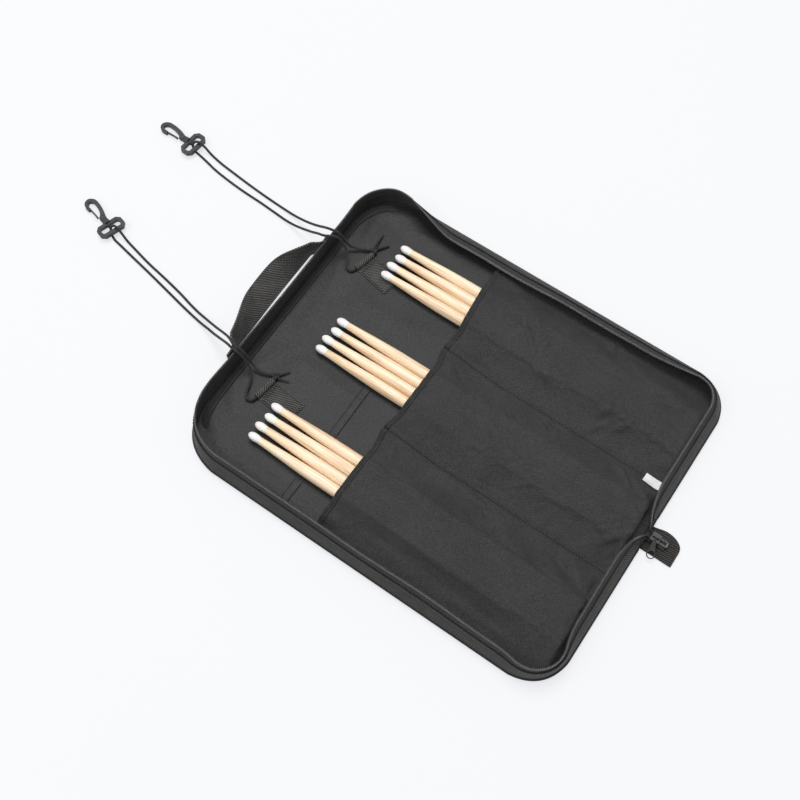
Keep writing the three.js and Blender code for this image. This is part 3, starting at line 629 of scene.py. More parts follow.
def outline(side, inset, last_x=0.0, step=3.0):
    """A leaf's edge from the middle of the handle end, round the leaf, to last_x at the zip end."""
    outer, end = HALF_WIDTH - inset, HALF_LENGTH - inset
    top, low = HANDLE_CORNER[side], ZIP_CORNER
    start = (outer - top, handle_end(side * (outer - top)) - inset)
    far = handle_end(side * outer) - inset
    points = [np.array([[0, handle_end(0) - inset], start], float)]
    points.append(corner(start, (outer - top * 0.12, far - top * 0.12), (outer, far - top)))
    points.append(np.array([[outer, -end + low]], float))
    points.append(corner((outer, -end + low), (outer - low * 0.12, -end + low * 0.12), (outer - low, -end)))
    points.append(np.array([[side * last_x, -end]], float))
    path = np.concatenate(points) * [side, 1]
    return even(np.column_stack([path, np.zeros(len(path))]), step)


# How far each wall leans in over its leaf, in degrees, at distances round the edge from the bag's middle.
LEAN = {
    "near": [(0, 2), (90, 0), (130, -4), (165, 4), (200, 16), (235, 22), (590, 22), (620, 6), (655, 6),
             (690, 28), (800, 32)],
    "far": [(0, 2), (130, 3), (175, -2), (205, 0), (230, 18), (290, 60), (360, 60), (440, 54), (560, 54),
            (640, 32), (800, 32)],
}
# How much more the wall's top leans than its foot.
CURL = {
    "near": [(0, 4), (90, 6), (165, 8), (235, 14), (550, 14), (620, 8), (655, 8), (690, 26), (800, 26)],
    "far": [(0, 4), (130, 6), (205, 8), (245, 24), (295, 60), (560, 60), (640, 26), (800, 26)],
}
PINCH_REACH = 50.0
PINCH_TOP = (1.7, -HALF_LENGTH - 4.0, 7.2)


def eased(stops, at):
    """Smooth values between stops."""
    places, values = zip(*stops)
    fine = np.interp(np.linspace(0, 800, 801), places, values)
    kernel = np.hanning(41)
    padded = np.concatenate([np.full(20, fine[0]), fine, np.full(20, fine[-1])])
    return np.interp(at, np.linspace(0, 800, 801), np.convolve(padded, kernel / kernel.sum(), "valid"))


def wall_grid(leaf, rises, step=3.0, wobble=1.0):
    """Points of a leaf's wall, [along the edge, up the wall], and how far along and up each one is."""
    side = SIDES[leaf]
    foot = outline(side, WALL_INSET, last_x=ZIP_X + side * PINCH_TOP[0], step=step)
    along = distance_along(foot)
    tangent = np.gradient(foot, axis=0)
    tangent /= np.linalg.norm(tangent, axis=1, keepdims=True)
    inward = np.column_stack([tangent[:, 1], -tangent[:, 0], np.zeros(len(foot))]) * side
    fine = np.linspace(0, WALL_H, 54)
    sway = 3.0 * ripple(along, along * 0, 3 if leaf == "near" else 5, 130) * wobble
    sway *= smooth01((along - 140) / 60) * smooth01((640 - along) / 60)
    lean = eased(LEAN[leaf], along) + sway
    angle = np.radians(lean[:, None] + eased(CURL[leaf], along)[:, None] * (fine / WALL_H - 0.5))
    rise_step = fine[1]
    at_foot = np.zeros((len(foot), 1))
    across = np.concatenate([at_foot, np.cumsum(np.sin(angle[:, 1:]) * rise_step, axis=1)], axis=1)
    up = np.concatenate([at_foot, np.cumsum(np.cos(angle[:, 1:]) * rise_step, axis=1)], axis=1)
    rises = np.asarray(rises, float)
    P = np.zeros((len(foot), len(rises), 3))
    for k in range(len(foot)):
        a = np.interp(rises, fine, across[k])
        u = np.interp(rises, fine, up[k]) + np.minimum(rises, 0)
        P[k] = foot[k] + inward[k] * a[:, None] + np.array([0, 0, 1]) * (WALL_FOOT_Z + u[:, None])
    P = pinched(P, foot, along, rises, side)
    strip = np.zeros_like(P)
    strip[:, :, 0] = along[:, None]
    strip[:, :, 1] = rises[None, :]
    return P, strip


def pinched(P, foot, along, rises, side):
    """Draws the wall's top down to the end of the zip, with small gathers in the cloth."""
    near_end = foot[:, 1] < -200
    reach = np.abs(foot[:, 0] - ZIP_X)
    weight = np.where(near_end, smooth01(1 - reach / PINCH_REACH), 0)[:, None, None]
    v = np.clip(rises / WALL_H, 0, 1)[None, :, None]
    target = np.array([ZIP_X + side * PINCH_TOP[0], PINCH_TOP[1], PINCH_TOP[2]])
    straight = P[:, :1] * (1 - v) + target * v
    gather = 1.5 * np.sin(along * 2 * math.pi / 8.5)[:, None, None] * v * (1 - v) * 4
    belly = np.array([0, 3.0, 2.0]) * v * (1 - v) * 4 * (1 - weight)
    gathered = straight + gather * np.array([0, 0.8, 1.0]) + belly
    return P * (1 - weight) + gathered * weight


def bend_with_leaf(obj):
    """Bakes the piece's placement into its points."""
    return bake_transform(obj)


def wall_sheet(leaf, rises, thickness, outward):
    P, strip = wall_grid(leaf, rises)
    return thick_sheet(P, thickness, strip, offset=-SIDES[leaf] * outward)


# How high up the wall its webbing, its zip tape and the edging between them have rows of points.
GUSSET_RISES = [-2.4, -1.2, 0, 1.5, 3.5, 6, 8.5, 11, 13.5, 15.4, 16.3]
TAPE_RISES = [13.6, 15, 16.4, 18.4, 20.6, 22.8, 25.3]
EDGING_RISES = [14.6, 15.4, 16.2, 17.0]
PIPING = ((0.5, -1.9, 1.5), (-2.6, 0.9, 1.7))  # each piping's height, distance out and radius
# Each stitch line's height, distance out from the wall and the side of it that the thread lies on.
WALL_STITCHES = ((15.9, 1.15, 1), (18.2, -0.7, 1), (24.0, -0.7, 1), (2.6, -0.65, -1), (13.9, -0.6, -1))


def make_walls(leaf):
    gusset = wall_sheet(leaf, GUSSET_RISES, 1.3, 0.1)
    piece = dress(new_object(f"{leaf}_gusset_webbing", *gusset), "gusset")
    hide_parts(f"{leaf}_gusset", "spine_wall_handle_end", "spine_wall_zip_end")
    bend_with_leaf(piece)

    tape = wall_sheet(leaf, TAPE_RISES, 0.8, -1.1)
    piece = dress(new_object(f"{leaf}_zip_tape_cloth", *tape), "tape")
    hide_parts(f"{leaf}_zip_tape")
    bend_with_leaf(piece)

    edging = Pile()
    edging.add(*wall_sheet(leaf, EDGING_RISES, 1.2, 0.5))
    n = wall_normals(leaf)
    for rise, outward, radius in PIPING:
        P, _ = wall_grid(leaf, [rise])
        edging.add(*tube_shape(P[:, 0] + n * outward, radius, sides=8))
    piece = dress(edging.build(f"{leaf}_wall_binding"), "binding")
    bend_with_leaf(piece)

    stitching = Pile()
    for rise, outward, sign in WALL_STITCHES:
        P, _ = wall_grid(leaf, [rise])
        thread_line(stitching, P[:, 0] + n * outward, n * sign)
    piece = dress(stitching.build(f"{leaf}_wall_stitching"), "thread")
    bend_with_leaf(piece)
    make_teeth(leaf)


def wall_normals(leaf):
    """Outward directions of the wall halfway up it."""
    P, _ = wall_grid(leaf, [12.0, 13.4, 14.8])
    return -SIDES[leaf] * grid_normals(P)[:, 1]


def make_teeth(leaf):
    """The zip's coil: a small nylon loop at each step along the top of the wall."""
    P, _ = wall_grid(leaf, [24.2, 26.6])
    pitch = 2.0
    low, high = even_pair(P[:, 0], P[:, 1], pitch)
    pile = Pile()
    for a, b in zip(low, high):
        d = (b - a) / max(np.linalg.norm(b - a), 1e-6)
        pile.add(*tube_shape([a, a + d * 1.2, a + d * 2.2, a + d * 2.9], [0.55, 0.62, 0.78, 0.45], sides=6))
    core = low * 0.72 + high * 0.28
    pile.add(*tube_shape(core, 0.5, sides=6))
    piece = dress(pile.build(f"{leaf}_zip_teeth"), "coil")
    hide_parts(f"{leaf}_zip_coil")
    bend_with_leaf(piece)


def even_pair(a, b, step):
    """Two matching paths resampled at equal steps of the second."""
    along = distance_along(b)
    at = np.arange(step / 2, along[-1], step)
    return tuple(np.stack([np.interp(at, along, p[:, k]) for k in range(3)], axis=1) for p in (a, b))


# ---- panels and lining -------------------------------------------------------------------------------
def edge_limits(inset, xs, side=1):
    """Lowest and highest y of a leaf's outline at each distance xs from the middle."""
    path = outline(side, inset, step=0.7)
    path[:, 0] *= side
    half = len(path) // 2
    upper = path[:half]
    lower = path[half:][::-1]
    top = np.interp(xs, upper[:, 0], upper[:, 1])
    low = np.interp(xs, lower[:, 0], lower[:, 1])
    return low, top


def leaf_columns(inset):
    """Distances from the middle, closer together at the fold and towards the rounded corners."""
    outer = HALF_WIDTH - inset
    inner = np.concatenate([np.linspace(0, 28, 8), np.linspace(30, 50, 11), np.linspace(54, outer - 60, 22)])
    bend = outer - 60 * (1 - np.sin(np.linspace(0, math.pi / 2, 28)[1:]))
    return np.concatenate([inner, bend])


def leaf_grid(side, inset, rows=96):
    """A regular grid over half of the bag, [across, along], at height 0."""
    xs = leaf_columns(inset)
    low, top = edge_limits(inset, xs, side)
    t = np.linspace(0, 1, rows)
    P = np.zeros((len(xs), rows, 3))
    P[:, :, 0] = side * xs[:, None]
    P[:, :, 1] = low[:, None] + (top - low)[:, None] * t[None, :]
    return P


def rim_of(P):
    """A grid's edge as one open path: along the zip end, up the long side, back along the handle end."""
    return np.concatenate([P[:, 0], P[-1, 1:], P[-2::-1, -1]])


# The padded base's edge, from its underside round to its top: how far in and how high each row is.
PANEL_EDGE = [(9.0, 0.0), (4.0, 0.06), (1.6, 0.5), (0.3, 1.7), (0.25, 3.1), (1.5, 4.2), (4.0, 4.45),
              (9.0, 4.45)]


def make_panel(leaf):
    """The padded base: outer cloth over foam, with a soft rounded edge."""
    side = SIDES[leaf]
    grids = [leaf_grid(side, inset) for inset, _ in PANEL_EDGE]
    for P, (_, z) in zip(grids, PANEL_EDGE):
        P[:, :, 2] = z
    x, y = grids[0][:, :, 0], grids[0][:, :, 1]
    grids[0][:, :, 2] += 0.12 * (1 + ripple(x, y, 11, 70))
    rims = [rim_of(P) for P in grids]
    rows, columns = grids[0].shape[:2]
    bottom, top = grids[0], grids[-1]
    pile_points = [bottom.reshape(-1, 3), top.reshape(-1, 3)] + rims[1:-1]
    faces = grid_faces(rows, columns, flip=side > 0)
    faces += grid_faces(rows, columns, rows * columns, flip=side < 0)
    index = np.arange(rows * columns).reshape(rows, columns)
    ring = np.concatenate([index[:, 0], index[-1, 1:], index[-2::-1, -1]])
    count = len(rims[0])
    base = 2 * rows * columns
    rings = [ring] + [base + k * count + np.arange(count) for k in range(len(rims) - 2)]
    rings.append(ring + rows * columns)
    for a, b in zip(rings, rings[1:]):
        for k in range(count - 1):
            quad = (a[k], a[k + 1], b[k + 1], b[k])
            faces.append(quad if side > 0 else quad[::-1])
    middle_low, middle_top = index[0], index[0] + rows * columns
    cut = list(middle_low) + [r[-1] for r in rings[1:-1]]
    cut += list(middle_top[::-1]) + [r[0] for r in rings[-2:0:-1]]
    faces.append(tuple(cut if side < 0 else cut[::-1]))
    piece = new_object(f"{leaf}_padded_panel", np.concatenate(pile_points), faces)
    dress(piece, "shell")
    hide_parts(f"{leaf}_outer_cloth", f"{leaf}_padding", "spine_outer_cloth", "spine_padding")
    bend_with_leaf(piece)


STICK_GROUPS = {"near": -127.0, "middle": 0.0, "far": 121.0}
STICK_PITCH = 13.8
STICK_Z = 12.0               # the sticks' middle line
GROUP_HALF = 1.5 * STICK_PITCH + STICK_R


def lining_height(x, y):
    """The lining's surface: slightly uneven foam under it, and flat where sticks press on it."""
    soft = 0.5 + 0.5 * ripple(x, y, 21, 85)
    clear = np.ones_like(x)
    for centre in STICK_GROUPS.values():
        beside = np.clip((np.abs(x - centre) - GROUP_HALF - 2) / 16, 0, 1)
        above = np.clip((y - 172) / 20, 0, 1)
        clear = np.minimum(clear, np.maximum(beside, above))
    folds = np.zeros_like(x)
    for fx, fy, angle, length, width, height in LINING_FOLDS:
        u, v = turned(x - fx, y - fy, angle)
        folds += height * np.exp(-(u / length) ** 2 - (v / width) ** 2)
    return 4.75 + clear * (0.9 * soft + folds)


# Soft bumps of the lining: place, direction of the fold in degrees, length, width and height.
LINING_FOLDS = [
    (-160, 205, 60, 26, 9, 1.6), (-118, 212, 35, 22, 7, 1.4), (-75, 214, -20, 26, 8, 1.3),
    (80, 214, 25, 26, 9, 1.4), (150, 212, 10, 30, 10, 1.8), (172, 150, 85, 45, 9, 1.5),
    (-45, 120, 80, 60, 10, 0.8), (60, 130, 95, 50, 10, 0.8), (-178, 120, 88, 60, 9, 1.4),
    (30, 205, 5, 40, 9, 0.9), (-20, 222, 0, 60, 5, 1.2), (-95, 160, 40, 40, 12, 1.2),
    (60, 170, 60, 40, 12, 1.2), (-40, 180, 20, 50, 14, 1.0), (10, 120, 100, 40, 12, 0.8),
    (182, 195, 120, 30, 10, 1.8),
]


LINING_INSET = 2.6


def make_lining(leaf):
    side = SIDES[leaf]
    P = leaf_grid(side, LINING_INSET, rows=150)
    x, y = P[:, :, 0], P[:, :, 1]
    P[:, :, 2] = lining_height(x, y)
    low, top = edge_limits(LINING_INSET, leaf_columns(LINING_INSET), side)
    rim = np.minimum(np.minimum(y - low[:, None], top[:, None] - y), HALF_WIDTH - LINING_INSET - np.abs(x))
    P[:, :, 2] += 0.9 * (1 - smooth01(rim / 9))
    points, faces, _ = thick_sheet(P[::side], 0.6)
    piece = dress(new_object(f"{leaf}_lining_cloth", points, faces), "lining")
    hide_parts(f"{leaf}_lining", "spine_lining")
    bend_with_leaf(piece)


SEAM_TAPE_ROWS = {"near": 62, "far": 70}


def make_wall_seam(leaf):
    """The tape over the seam between the lining and the wall at the handle end, stitched down twice."""
    side = SIDES[leaf]
    across = np.array([0.0, 0.4, 1.4, 3.4, 5.6, 6.6, 7.0])
    lift = np.array([0.9, 1.25, 1.15, 1.0, 1.1, 0.95, 0.2])
    count = SEAM_TAPE_ROWS[leaf]
    P = np.stack([outline(side, 5.6 + a)[:count] for a in across], axis=1)
    ending = smooth01((count - 1 - np.arange(count)) / 12)[:, None]
    P[:, :, 2] = lining_height(P[:, :, 0], P[:, :, 1]) - 0.5 + (1.0 + lift[None, :]) * ending
    strip = level_strip(P[:, :, 0], P[:, :, 1])
    piece = new_object(f"{leaf}_seam_tape", *thick_sheet(P, 0.5, strip))
    bend_with_leaf(dress(piece, "binding"))
    pile = Pile()
    for column in (2, 4):
        line = P[:count - 12, column] + np.array([0, 0, 0.3])
        thread_line(pile, line, UP, radius=0.34)
    piece = dress(pile.build(f"{leaf}_seam_tape_stitching"), "thread")
    bend_with_leaf(piece)


def make_lining_seam():
    """A narrow flap sewn across the near half of the lining, with a stitched edge each side."""
    xs = np.linspace(-192, -24, 85)
    ys = 95 + 2.2 * (xs + 100) / 90
    across = np.array([-4.6, -4.2, -2.5, 0, 2.5, 4.2, 4.6])
    lift = np.array([0.1, 0.7, 0.95, 0.8, 0.95, 0.7, 0.1])
    X = np.repeat(xs[:, None], len(across), 1)
    Y = ys[:, None] + across[None, :]
    free = smooth01((np.abs(X - STICK_GROUPS["near"]) - GROUP_HALF) / 8)
    P = np.stack([X, Y, lining_height(X, Y) + 0.25 + lift[None, :] * 0.75 * free], axis=2)
    piece = new_object("near_lining_seam", *thick_sheet(P, 0.5, level_strip(X, Y)))
    dress(piece, "lining")
    bend_with_leaf(piece)
    pile = Pile()
    for offset in (-3.1, 3.1):
        line = np.stack([xs, ys + offset, lining_height(xs, ys + offset) + 0.5 + 0.75 * free[:, 3]], axis=1)
        thread_line(pile, line, UP)
    piece = dress(pile.build("near_lining_seam_stitching"), "thread")
    bend_with_leaf(piece)


# ---- pockets -----------------------------------------------------------------------------------------
SEAMS = (-60.0, 58.0)        # the pockets' dividing seams
POCKET_INSET = 3.6
POCKET_EDGE = 199.0          # the pocket cloth is sewn down this far from the middle
BUTT_Y = -222.0


def mouth_line(x):
    """The pockets' open edge runs a little askew."""
    x = np.asarray(x, float)
    slack = sum(np.exp(-((x - place) / 17) ** 2) for place in SEAMS)
    return MOUTH_Y - 1.5 + 12.5 * smooth01((x - 30) / 170) + 3.5 * slack


def pocket_grid():
    """A grid over the whole pocket cloth, [across, along], at height 0."""
    inner = np.array([0, 4, 8, 12, 16, 20, 24, 28, 32, 36, 40, 44, 48, 51, 54, 56], float)
    rim = 156 + 43.4 * np.sin(np.linspace(0, math.pi / 2, 18)[1:])
    right = np.concatenate([inner, [57, 58, 59, 61, 64], np.linspace(68, 156, 23), rim])
    left = np.concatenate([inner, [58, 59, 60, 61, 63, 66], np.linspace(70, 156, 23), rim])
    xs = np.concatenate([-left[::-1], right[1:]])
    low, _ = edge_limits(POCKET_INSET, np.abs(xs))
    top = mouth_line(xs)
    t = np.linspace(0, 1, 76)
    t = t - 0.012 * np.sin(t * math.pi * 2)
    P = np.zeros((len(xs), len(t), 3))
    P[:, :, 0] = xs[:, None]
    P[:, :, 1] = low[:, None] + (top - low)[:, None] * t[None, :]
    return P


def arch(d, half, reach):
    """A cloth's height, 0 to 1, at distance d from the middle of a bundle of that half width."""
    t = np.clip((np.abs(d) - half + 7) / np.maximum(reach - half + 7, 1), 0, 1)
    return (1 - smooth01(t)) ** 1.25


def pocket_height(x, y):
    """The cloth over the sticks and down to its seams, before it settles."""
    height = np.zeros_like(x)
    spans = {"near": (-POCKET_EDGE, SEAMS[0]), "middle": SEAMS, "far": (SEAMS[1], POCKET_EDGE)}
    for place, (x0, x1) in spans.items():
        centre = STICK_GROUPS[place]
        inside = (x > x0) & (x < x1)
        reach = np.where(x < centre, centre - x0, x1 - centre)
        cover = arch(x - centre, GROUP_HALF + 5, reach * 0.98)
        height = np.where(inside, np.maximum(height, cover), height)
    mouth = smooth01((y - MOUTH_Y + 75) / 75)
    height = np.maximum(height, 0.7 * mouth * smooth01((POCKET_EDGE - np.abs(x)) / 25))
    foot = smooth01((y - (BUTT_Y - 13)) / 11)
    return height * foot


# Creases and rolls in the slack cloth: place, direction in degrees, length, width and height.
POCKET_FOLDS = [
    (130, -18, 53, 38, 10, -2.4), (164, -110, 60, 46, 14, -3.4), (150, -192, 82, 40, 13, 2.6),
    (35, -182, 86, 26, 9, -3.0), (-79, -189, 58, 22, 10, -2.6), (42, -99, 20, 24, 9, -2.6),
    (85, -144, -24, 26, 9, -2.4), (-62, -77, 27, 44, 14, -2.2), (0, -70, 90, 110, 6, -2.2),
    (36, -14, -82, 55, 7, -2.0), (-166, -60, 88, 90, 10, -1.6), (-181, -152, 90, 50, 9, 2.2),
    (-110, -40, 70, 60, 12, 1.8), (95, -60, 40, 40, 12, 2.0), (-120, -150, 50, 45, 12, -1.8),
]


def pocket_folds(x, y):
    """Slack in the cloth: gathers spreading from the end of the zip, and long soft rolls."""
    dx, dy = x - ZIP_X, y + HALF_LENGTH
    away = np.hypot(dx, dy)
    angle = np.arctan2(dy, dx)
    gathers = np.sin(angle * 11 + 0.6 * np.sin(away / 18)) * np.exp(-((away - 34) / 38) ** 2) * 1.7
    rolls = 0.8 * ripple(x * 0.75, y, 31, 62) + 0.4 * ripple(x, y, 33, 26)
    for fx, fy, turn, length, width, depth in POCKET_FOLDS:
        u, v = turned(x - fx, y - fy, turn)
        u, v = u / length, v / width
        rolls = rolls + 1.45 * depth * (1 - 1.4 * v ** 2) * np.exp(-u ** 2 - v ** 2)
    edge = smooth01((POCKET_EDGE - np.abs(x)) / 22) * smooth01((y + 236) / 16)
    seam = np.ones_like(x)
    for place in SEAMS:
        seam = np.minimum(seam, smooth01(np.abs(x - place) / 14))
    return (gathers + rolls * (0.35 + 0.65 * seam)) * edge


def stick_top(x, y):
    """How high the sticks reach under the cloth."""
    top = np.full_like(x, -1.0)
    for centre in STICK_GROUPS.values():
        for k in range(4):
            d = np.abs(x - centre - (k - 1.5) * STICK_PITCH)
            inside = (d < STICK_R) & (y > BUTT_Y - 2)
            surface = STICK_Z + np.sqrt(np.maximum(STICK_R ** 2 - d ** 2, 0))
            top = np.where(inside, np.maximum(top, surface), top)
    return top


POCKET_BASE = 6.0
POCKET_RISE = 15.8


def seam_distance(x):
    """How far x is from the nearer dividing seam."""
    return np.minimum(np.abs(x - SEAMS[0]), np.abs(x - SEAMS[1]))


def slack_surface(x, y):
    """The cloth's height before it settles, with a groove along each dividing seam."""
    groove = 1.6 * smooth01(seam_distance(x) / 5)
    return POCKET_BASE + POCKET_RISE * pocket_height(x, y) + pocket_folds(x, y) + groove - 0.3


def pocket_surface():
    P = pocket_grid()
    P[:, :, 2] = slack_surface(P[:, :, 0], P[:, :, 1])
    P = settled(P)
    x, y = P[:, :, 0], P[:, :, 1]
    P[:, :, 2] = np.maximum(P[:, :, 2], stick_top(x, y) + 0.75)
    P[:, :, 2] = np.maximum(P[:, :, 2], POCKET_BASE - 0.35)
    return P


CLOTH_SETTINGS = {"quality": 8, "mass": 0.06, "tension_stiffness": 18, "compression_stiffness": 18,
                  "shear_stiffness": 8, "bending_stiffness": 0.12, "air_damping": 2.0}
SETTLING_FRAMES = 25
SETTLING_SHARE = 0.8         # how much of the cloth's fall is kept
SETTLING_MOST = 6.0


def settled(P):
    """Lets the cloth fall onto the sticks, sewn down along its seams and its edge."""
    rows, columns, _ = P.shape
    cloth = new_object("settling_cloth", P.reshape(-1, 3), grid_faces(rows, columns), smooth=False)
    index = np.arange(rows * columns).reshape(rows, columns)
    pinned = set(index[0]) | set(index[-1]) | set(index[:, 0])
    for k in range(rows):
        if min(abs(P[k, 0, 0] - s) for s in SEAMS) < 0.6:
            pinned |= set(index[k])
    group = cloth.vertex_groups.new(name="sewn")
    group.add([int(k) for k in pinned], 1.0, "REPLACE")
    sticks = Pile()
    for centre in STICK_GROUPS.values():
        for k in range(4):
            x = centre + (k - 1.5) * STICK_PITCH
            line = np.array([[x, y, STICK_Z] for y in np.linspace(BUTT_Y, 120, 60)])
            sticks.add(*tube_shape(line, STICK_R, sides=20))
    solid = sticks.build("settling_sticks")
    table = [(260 * x, 300 * y, 5.0) for x, y in ((-1, -1), (1, -1), (1, 1), (-1, 1))]
    base = new_object("settling_base", table, [(0, 1, 2, 3)])
    for obstacle in (solid, base):
        obstacle.modifiers.new("stop", "COLLISION")
        obstacle.collision.thickness_outer = 0.0006
        obstacle.collision.thickness_inner = 0.002
        obstacle.collision.cloth_friction = 20
    fall = cloth.modifiers.new("fall", "CLOTH")
    for setting, value in CLOTH_SETTINGS.items():
        setattr(fall.settings, setting, value)
    fall.settings.vertex_group_mass = "sewn"
    fall.collision_settings.distance_min = 0.0008
    fall.collision_settings.collision_quality = 3
    scene = bpy.context.scene
    for number in range(1, SETTLING_FRAMES + 1):
        scene.frame_set(number)
    depsgraph = bpy.context.evaluated_depsgraph_get()
    mesh = cloth.evaluated_get(depsgraph).to_mesh()
    fallen = np.zeros(len(mesh.vertices) * 3, np.float32)
    mesh.vertices.foreach_get("co", fallen)
    fallen = fallen.reshape(rows, columns, 3).astype(float) / MM
    scene.frame_set(1)
    for obj in (cloth, solid, base):
        bpy.data.objects.remove(obj)
    moved = np.nan_to_num(np.clip(fallen - P, -SETTLING_MOST, SETTLING_MOST))
    x, y = P[:, :, 0], P[:, :, 1]
    label = np.hypot(x - SEAMS[1], y + HALF_LENGTH - 20)
    free = smooth01((seam_distance(x) - 2) / 12) * smooth01((label - 16) / 14)
    return P + moved * (SETTLING_SHARE * free)[:, :, None]


def refined(P):
    """The same grid with a smooth point between each two."""
    for axis in (0, 1):
        P = np.moveaxis(P, axis, 0)
        padded = np.concatenate([2 * P[:1] - P[1:2], P, 2 * P[-1:] - P[-2:-1]])
        middle = (9 * (padded[1:-2] + padded[2:-1]) - padded[:-3] - padded[3:]) / 16
        out = np.zeros((2 * len(P) - 1, *P.shape[1:]))
        out[::2], out[1::2] = P, middle
        P = np.moveaxis(out, 0, axis)
    return P


def half_of(P, middle, leaf):
    """The grid's columns on one side of the bag's middle, which is included."""
    return P[:middle + 1] if leaf == "near" else P[middle:]


def make_pockets():
    surface = refined(pocket_surface())
    normals = grid_normals(surface)
    middle = int(np.argmin(np.abs(surface[:, 0, 0])))
    for leaf in SIDES:
        P = half_of(surface, middle, leaf)
        n = half_of(normals, middle, leaf)
        x, y = P[:, :, 0], P[:, :, 1]
        points = np.concatenate([(P + n * 0.3).reshape(-1, 3), (P - n * 0.3).reshape(-1, 3)])
        _, faces, strip = thick_sheet(P, 0.6, level_strip(x, y))
        piece = new_object(f"{leaf}_pocket_cloth", points, faces, strip)
        both = np.concatenate([n.reshape(-1, 3), -n.reshape(-1, 3)])
        piece.data.normals_split_custom_set_from_vertices(both.tolist())
        dress(piece, "pocket")
        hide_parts(f"{leaf}_pocket", "middle_pocket")
        bend_with_leaf(piece)
        make_hem(leaf, P, n)
        make_pocket_stitching(leaf, P, n)


def make_hem(leaf, P, n):
    """Binding tape folded over the pockets' open edge."""
    edge = P[:, -1]
    up = n[:, -1]
    back = P[:, -2] - edge
    back /= np.linalg.norm(back, axis=1, keepdims=True)
    section = [(5.4, 0.45), (4.6, 1.0), (2.0, 1.15), (-0.4, 1.0), (-1.3, 0.0), (-0.4, -1.0), (2.0, -1.1),
               (4.6, -0.95), (5.4, -0.45)]
    rows = np.stack([edge + back * a + up * b for a, b in section], axis=1)
    count = len(section)
    along = distance_along(edge)
    strip = np.zeros((len(edge), count, 3))
    strip[:, :, 0] = along[:, None]
    strip[:, :, 1] = np.array([a for a, _ in section])[None, :]
    faces = ring_faces(len(edge), count, flip=True)
    piece = new_object(f"{leaf}_pocket_hem", rows.reshape(-1, 3), faces, strip.reshape(-1, 3))
    dress(piece, "binding")
    bend_with_leaf(piece)
    pile = Pile()
    thread_line(pile, edge + back * 3.6 + up * 1.02, up)
    piece = dress(pile.build(f"{leaf}_hem_stitching"), "thread")
    bend_with_leaf(piece)


def make_pocket_stitching(leaf, P, n):
    """The dividing seam, and a bar of stitches where it meets the pockets' mouth."""
    x = P[:, 0, 0]
    k = int(np.argmin(np.abs(x - (SEAMS[0] if leaf == "near" else SEAMS[1]))))
    pile = Pile()
    line = P[k] + n[k] * 0.32
    thread_line(pile, line[4:-2], n[k][4:-2], pitch=3.4, radius=0.5, lift=0.2)
    bar = P[k, -1]
    for step in range(5):
        x, z = bar[0] - 3.5 + 1.2 * step, bar[2] + 1.35
        across = np.array([[x, bar[1] - y, z] for y in np.linspace(-0.5, 5.5, 5)])
        thread_line(pile, across, UP, pitch=3.0, radius=0.34)
    piece = dress(pile.build(f"{leaf}_divider_stitching"), "dark_thread")
    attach(piece, f"{leaf}_half")


# ---- sticks ------------------------------------------------------------------------------------------
def lathe(profile, place, segments=36, strip_shift=(0, 0, 0)):
    """A turned shape about a line along Y through place, from (y, radius) pairs."""
    points = []
    for y, r in profile:
        for k in range(segments):
            a = k * 2 * math.pi / segments
            points.append((place[0] + r * math.cos(a), place[1] + y, place[2] + r * math.sin(a)))
    faces = ring_faces(len(profile), segments, flip=True)
    return np.array(points), faces, np.tile(strip_shift, (len(points), 1))


def curve_profile(stops, count):
    """A smooth (y, radius) profile through stops."""
    path = even(resample([(y, r, 0) for y, r in stops], 0.5), 1.0)
    keep = np.linspace(0, len(path) - 1, count).astype(int)
    return [(path[k, 0], max(path[k, 1], 0.02)) for k in keep]


TIP_PROFILE = [(-0.4, 3.6), (0.2, 4.05), (2.2, 4.2), (4.6, 4.5), (7.4, 4.65), (10.4, 4.25), (12.9, 3.2)]


def make_sticks():
    for place in STICK_GROUPS:
        for k in range(1, 5):
            shaft_low, shaft_high = node_box(f"{place}_stick_{k}_shaft")
            _, tip_high = node_box(f"{place}_stick_{k}_tip")
            centre = (shaft_low + shaft_high) / 2
            origin = (centre[0], 0, centre[2])
            butt, neck, end = shaft_low[1], shaft_high[1], tip_high[1]
            r = STICK_R
            rim = [(butt, 0.05), (butt, r - 2.6), (butt + 0.35, r - 1.5), (butt + 1.2, r - 0.55),
                   (butt + 2.8, r)]
            taper = [(neck - 77, r), (neck - 62, r - 0.18), (neck - 45, r - 0.72), (neck - 28, r - 1.45),
                     (neck - 12, r - 2.15), (neck - 3, r - 2.5), (neck, r - 2.6)]
            body = rim + [(y, r) for y in np.linspace(butt + 6, neck - 80, 24)] + curve_profile(taper, 24)
            shift = np.array([37.0, 61.0, 23.0]) * (k + 4 * list(STICK_GROUPS).index(place))
            shaft = new_object(f"{place}_stick_{k}_wood", *lathe(body, origin, strip_shift=shift))
            dress(shaft, "wood")
            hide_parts(f"{place}_stick_{k}_shaft")
            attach(shaft, f"{place}_stick_{k}")
            tip = [(neck + y, radius) for y, radius in TIP_PROFILE] + [(end - 0.9, 2.1), (end - 0.1, 0.7)]
            profile = [(neck - 0.4, 0.05)] + curve_profile(tip, 26) + [(end, 0.03)]
            cap = new_object(f"{place}_stick_{k}_nylon", *lathe(profile, origin))
            dress(cap, "tip")
            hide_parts(f"{place}_stick_{k}_tip")
            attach(cap, f"{place}_stick_{k}")


# ---- handle ------------------------------------------------------------------------------------------
HANDLE_X = 4.0
HANDLE_HALF = 98.0
HANDLE_FREE = 88.0
HANDLE_WIDTH = 31.0


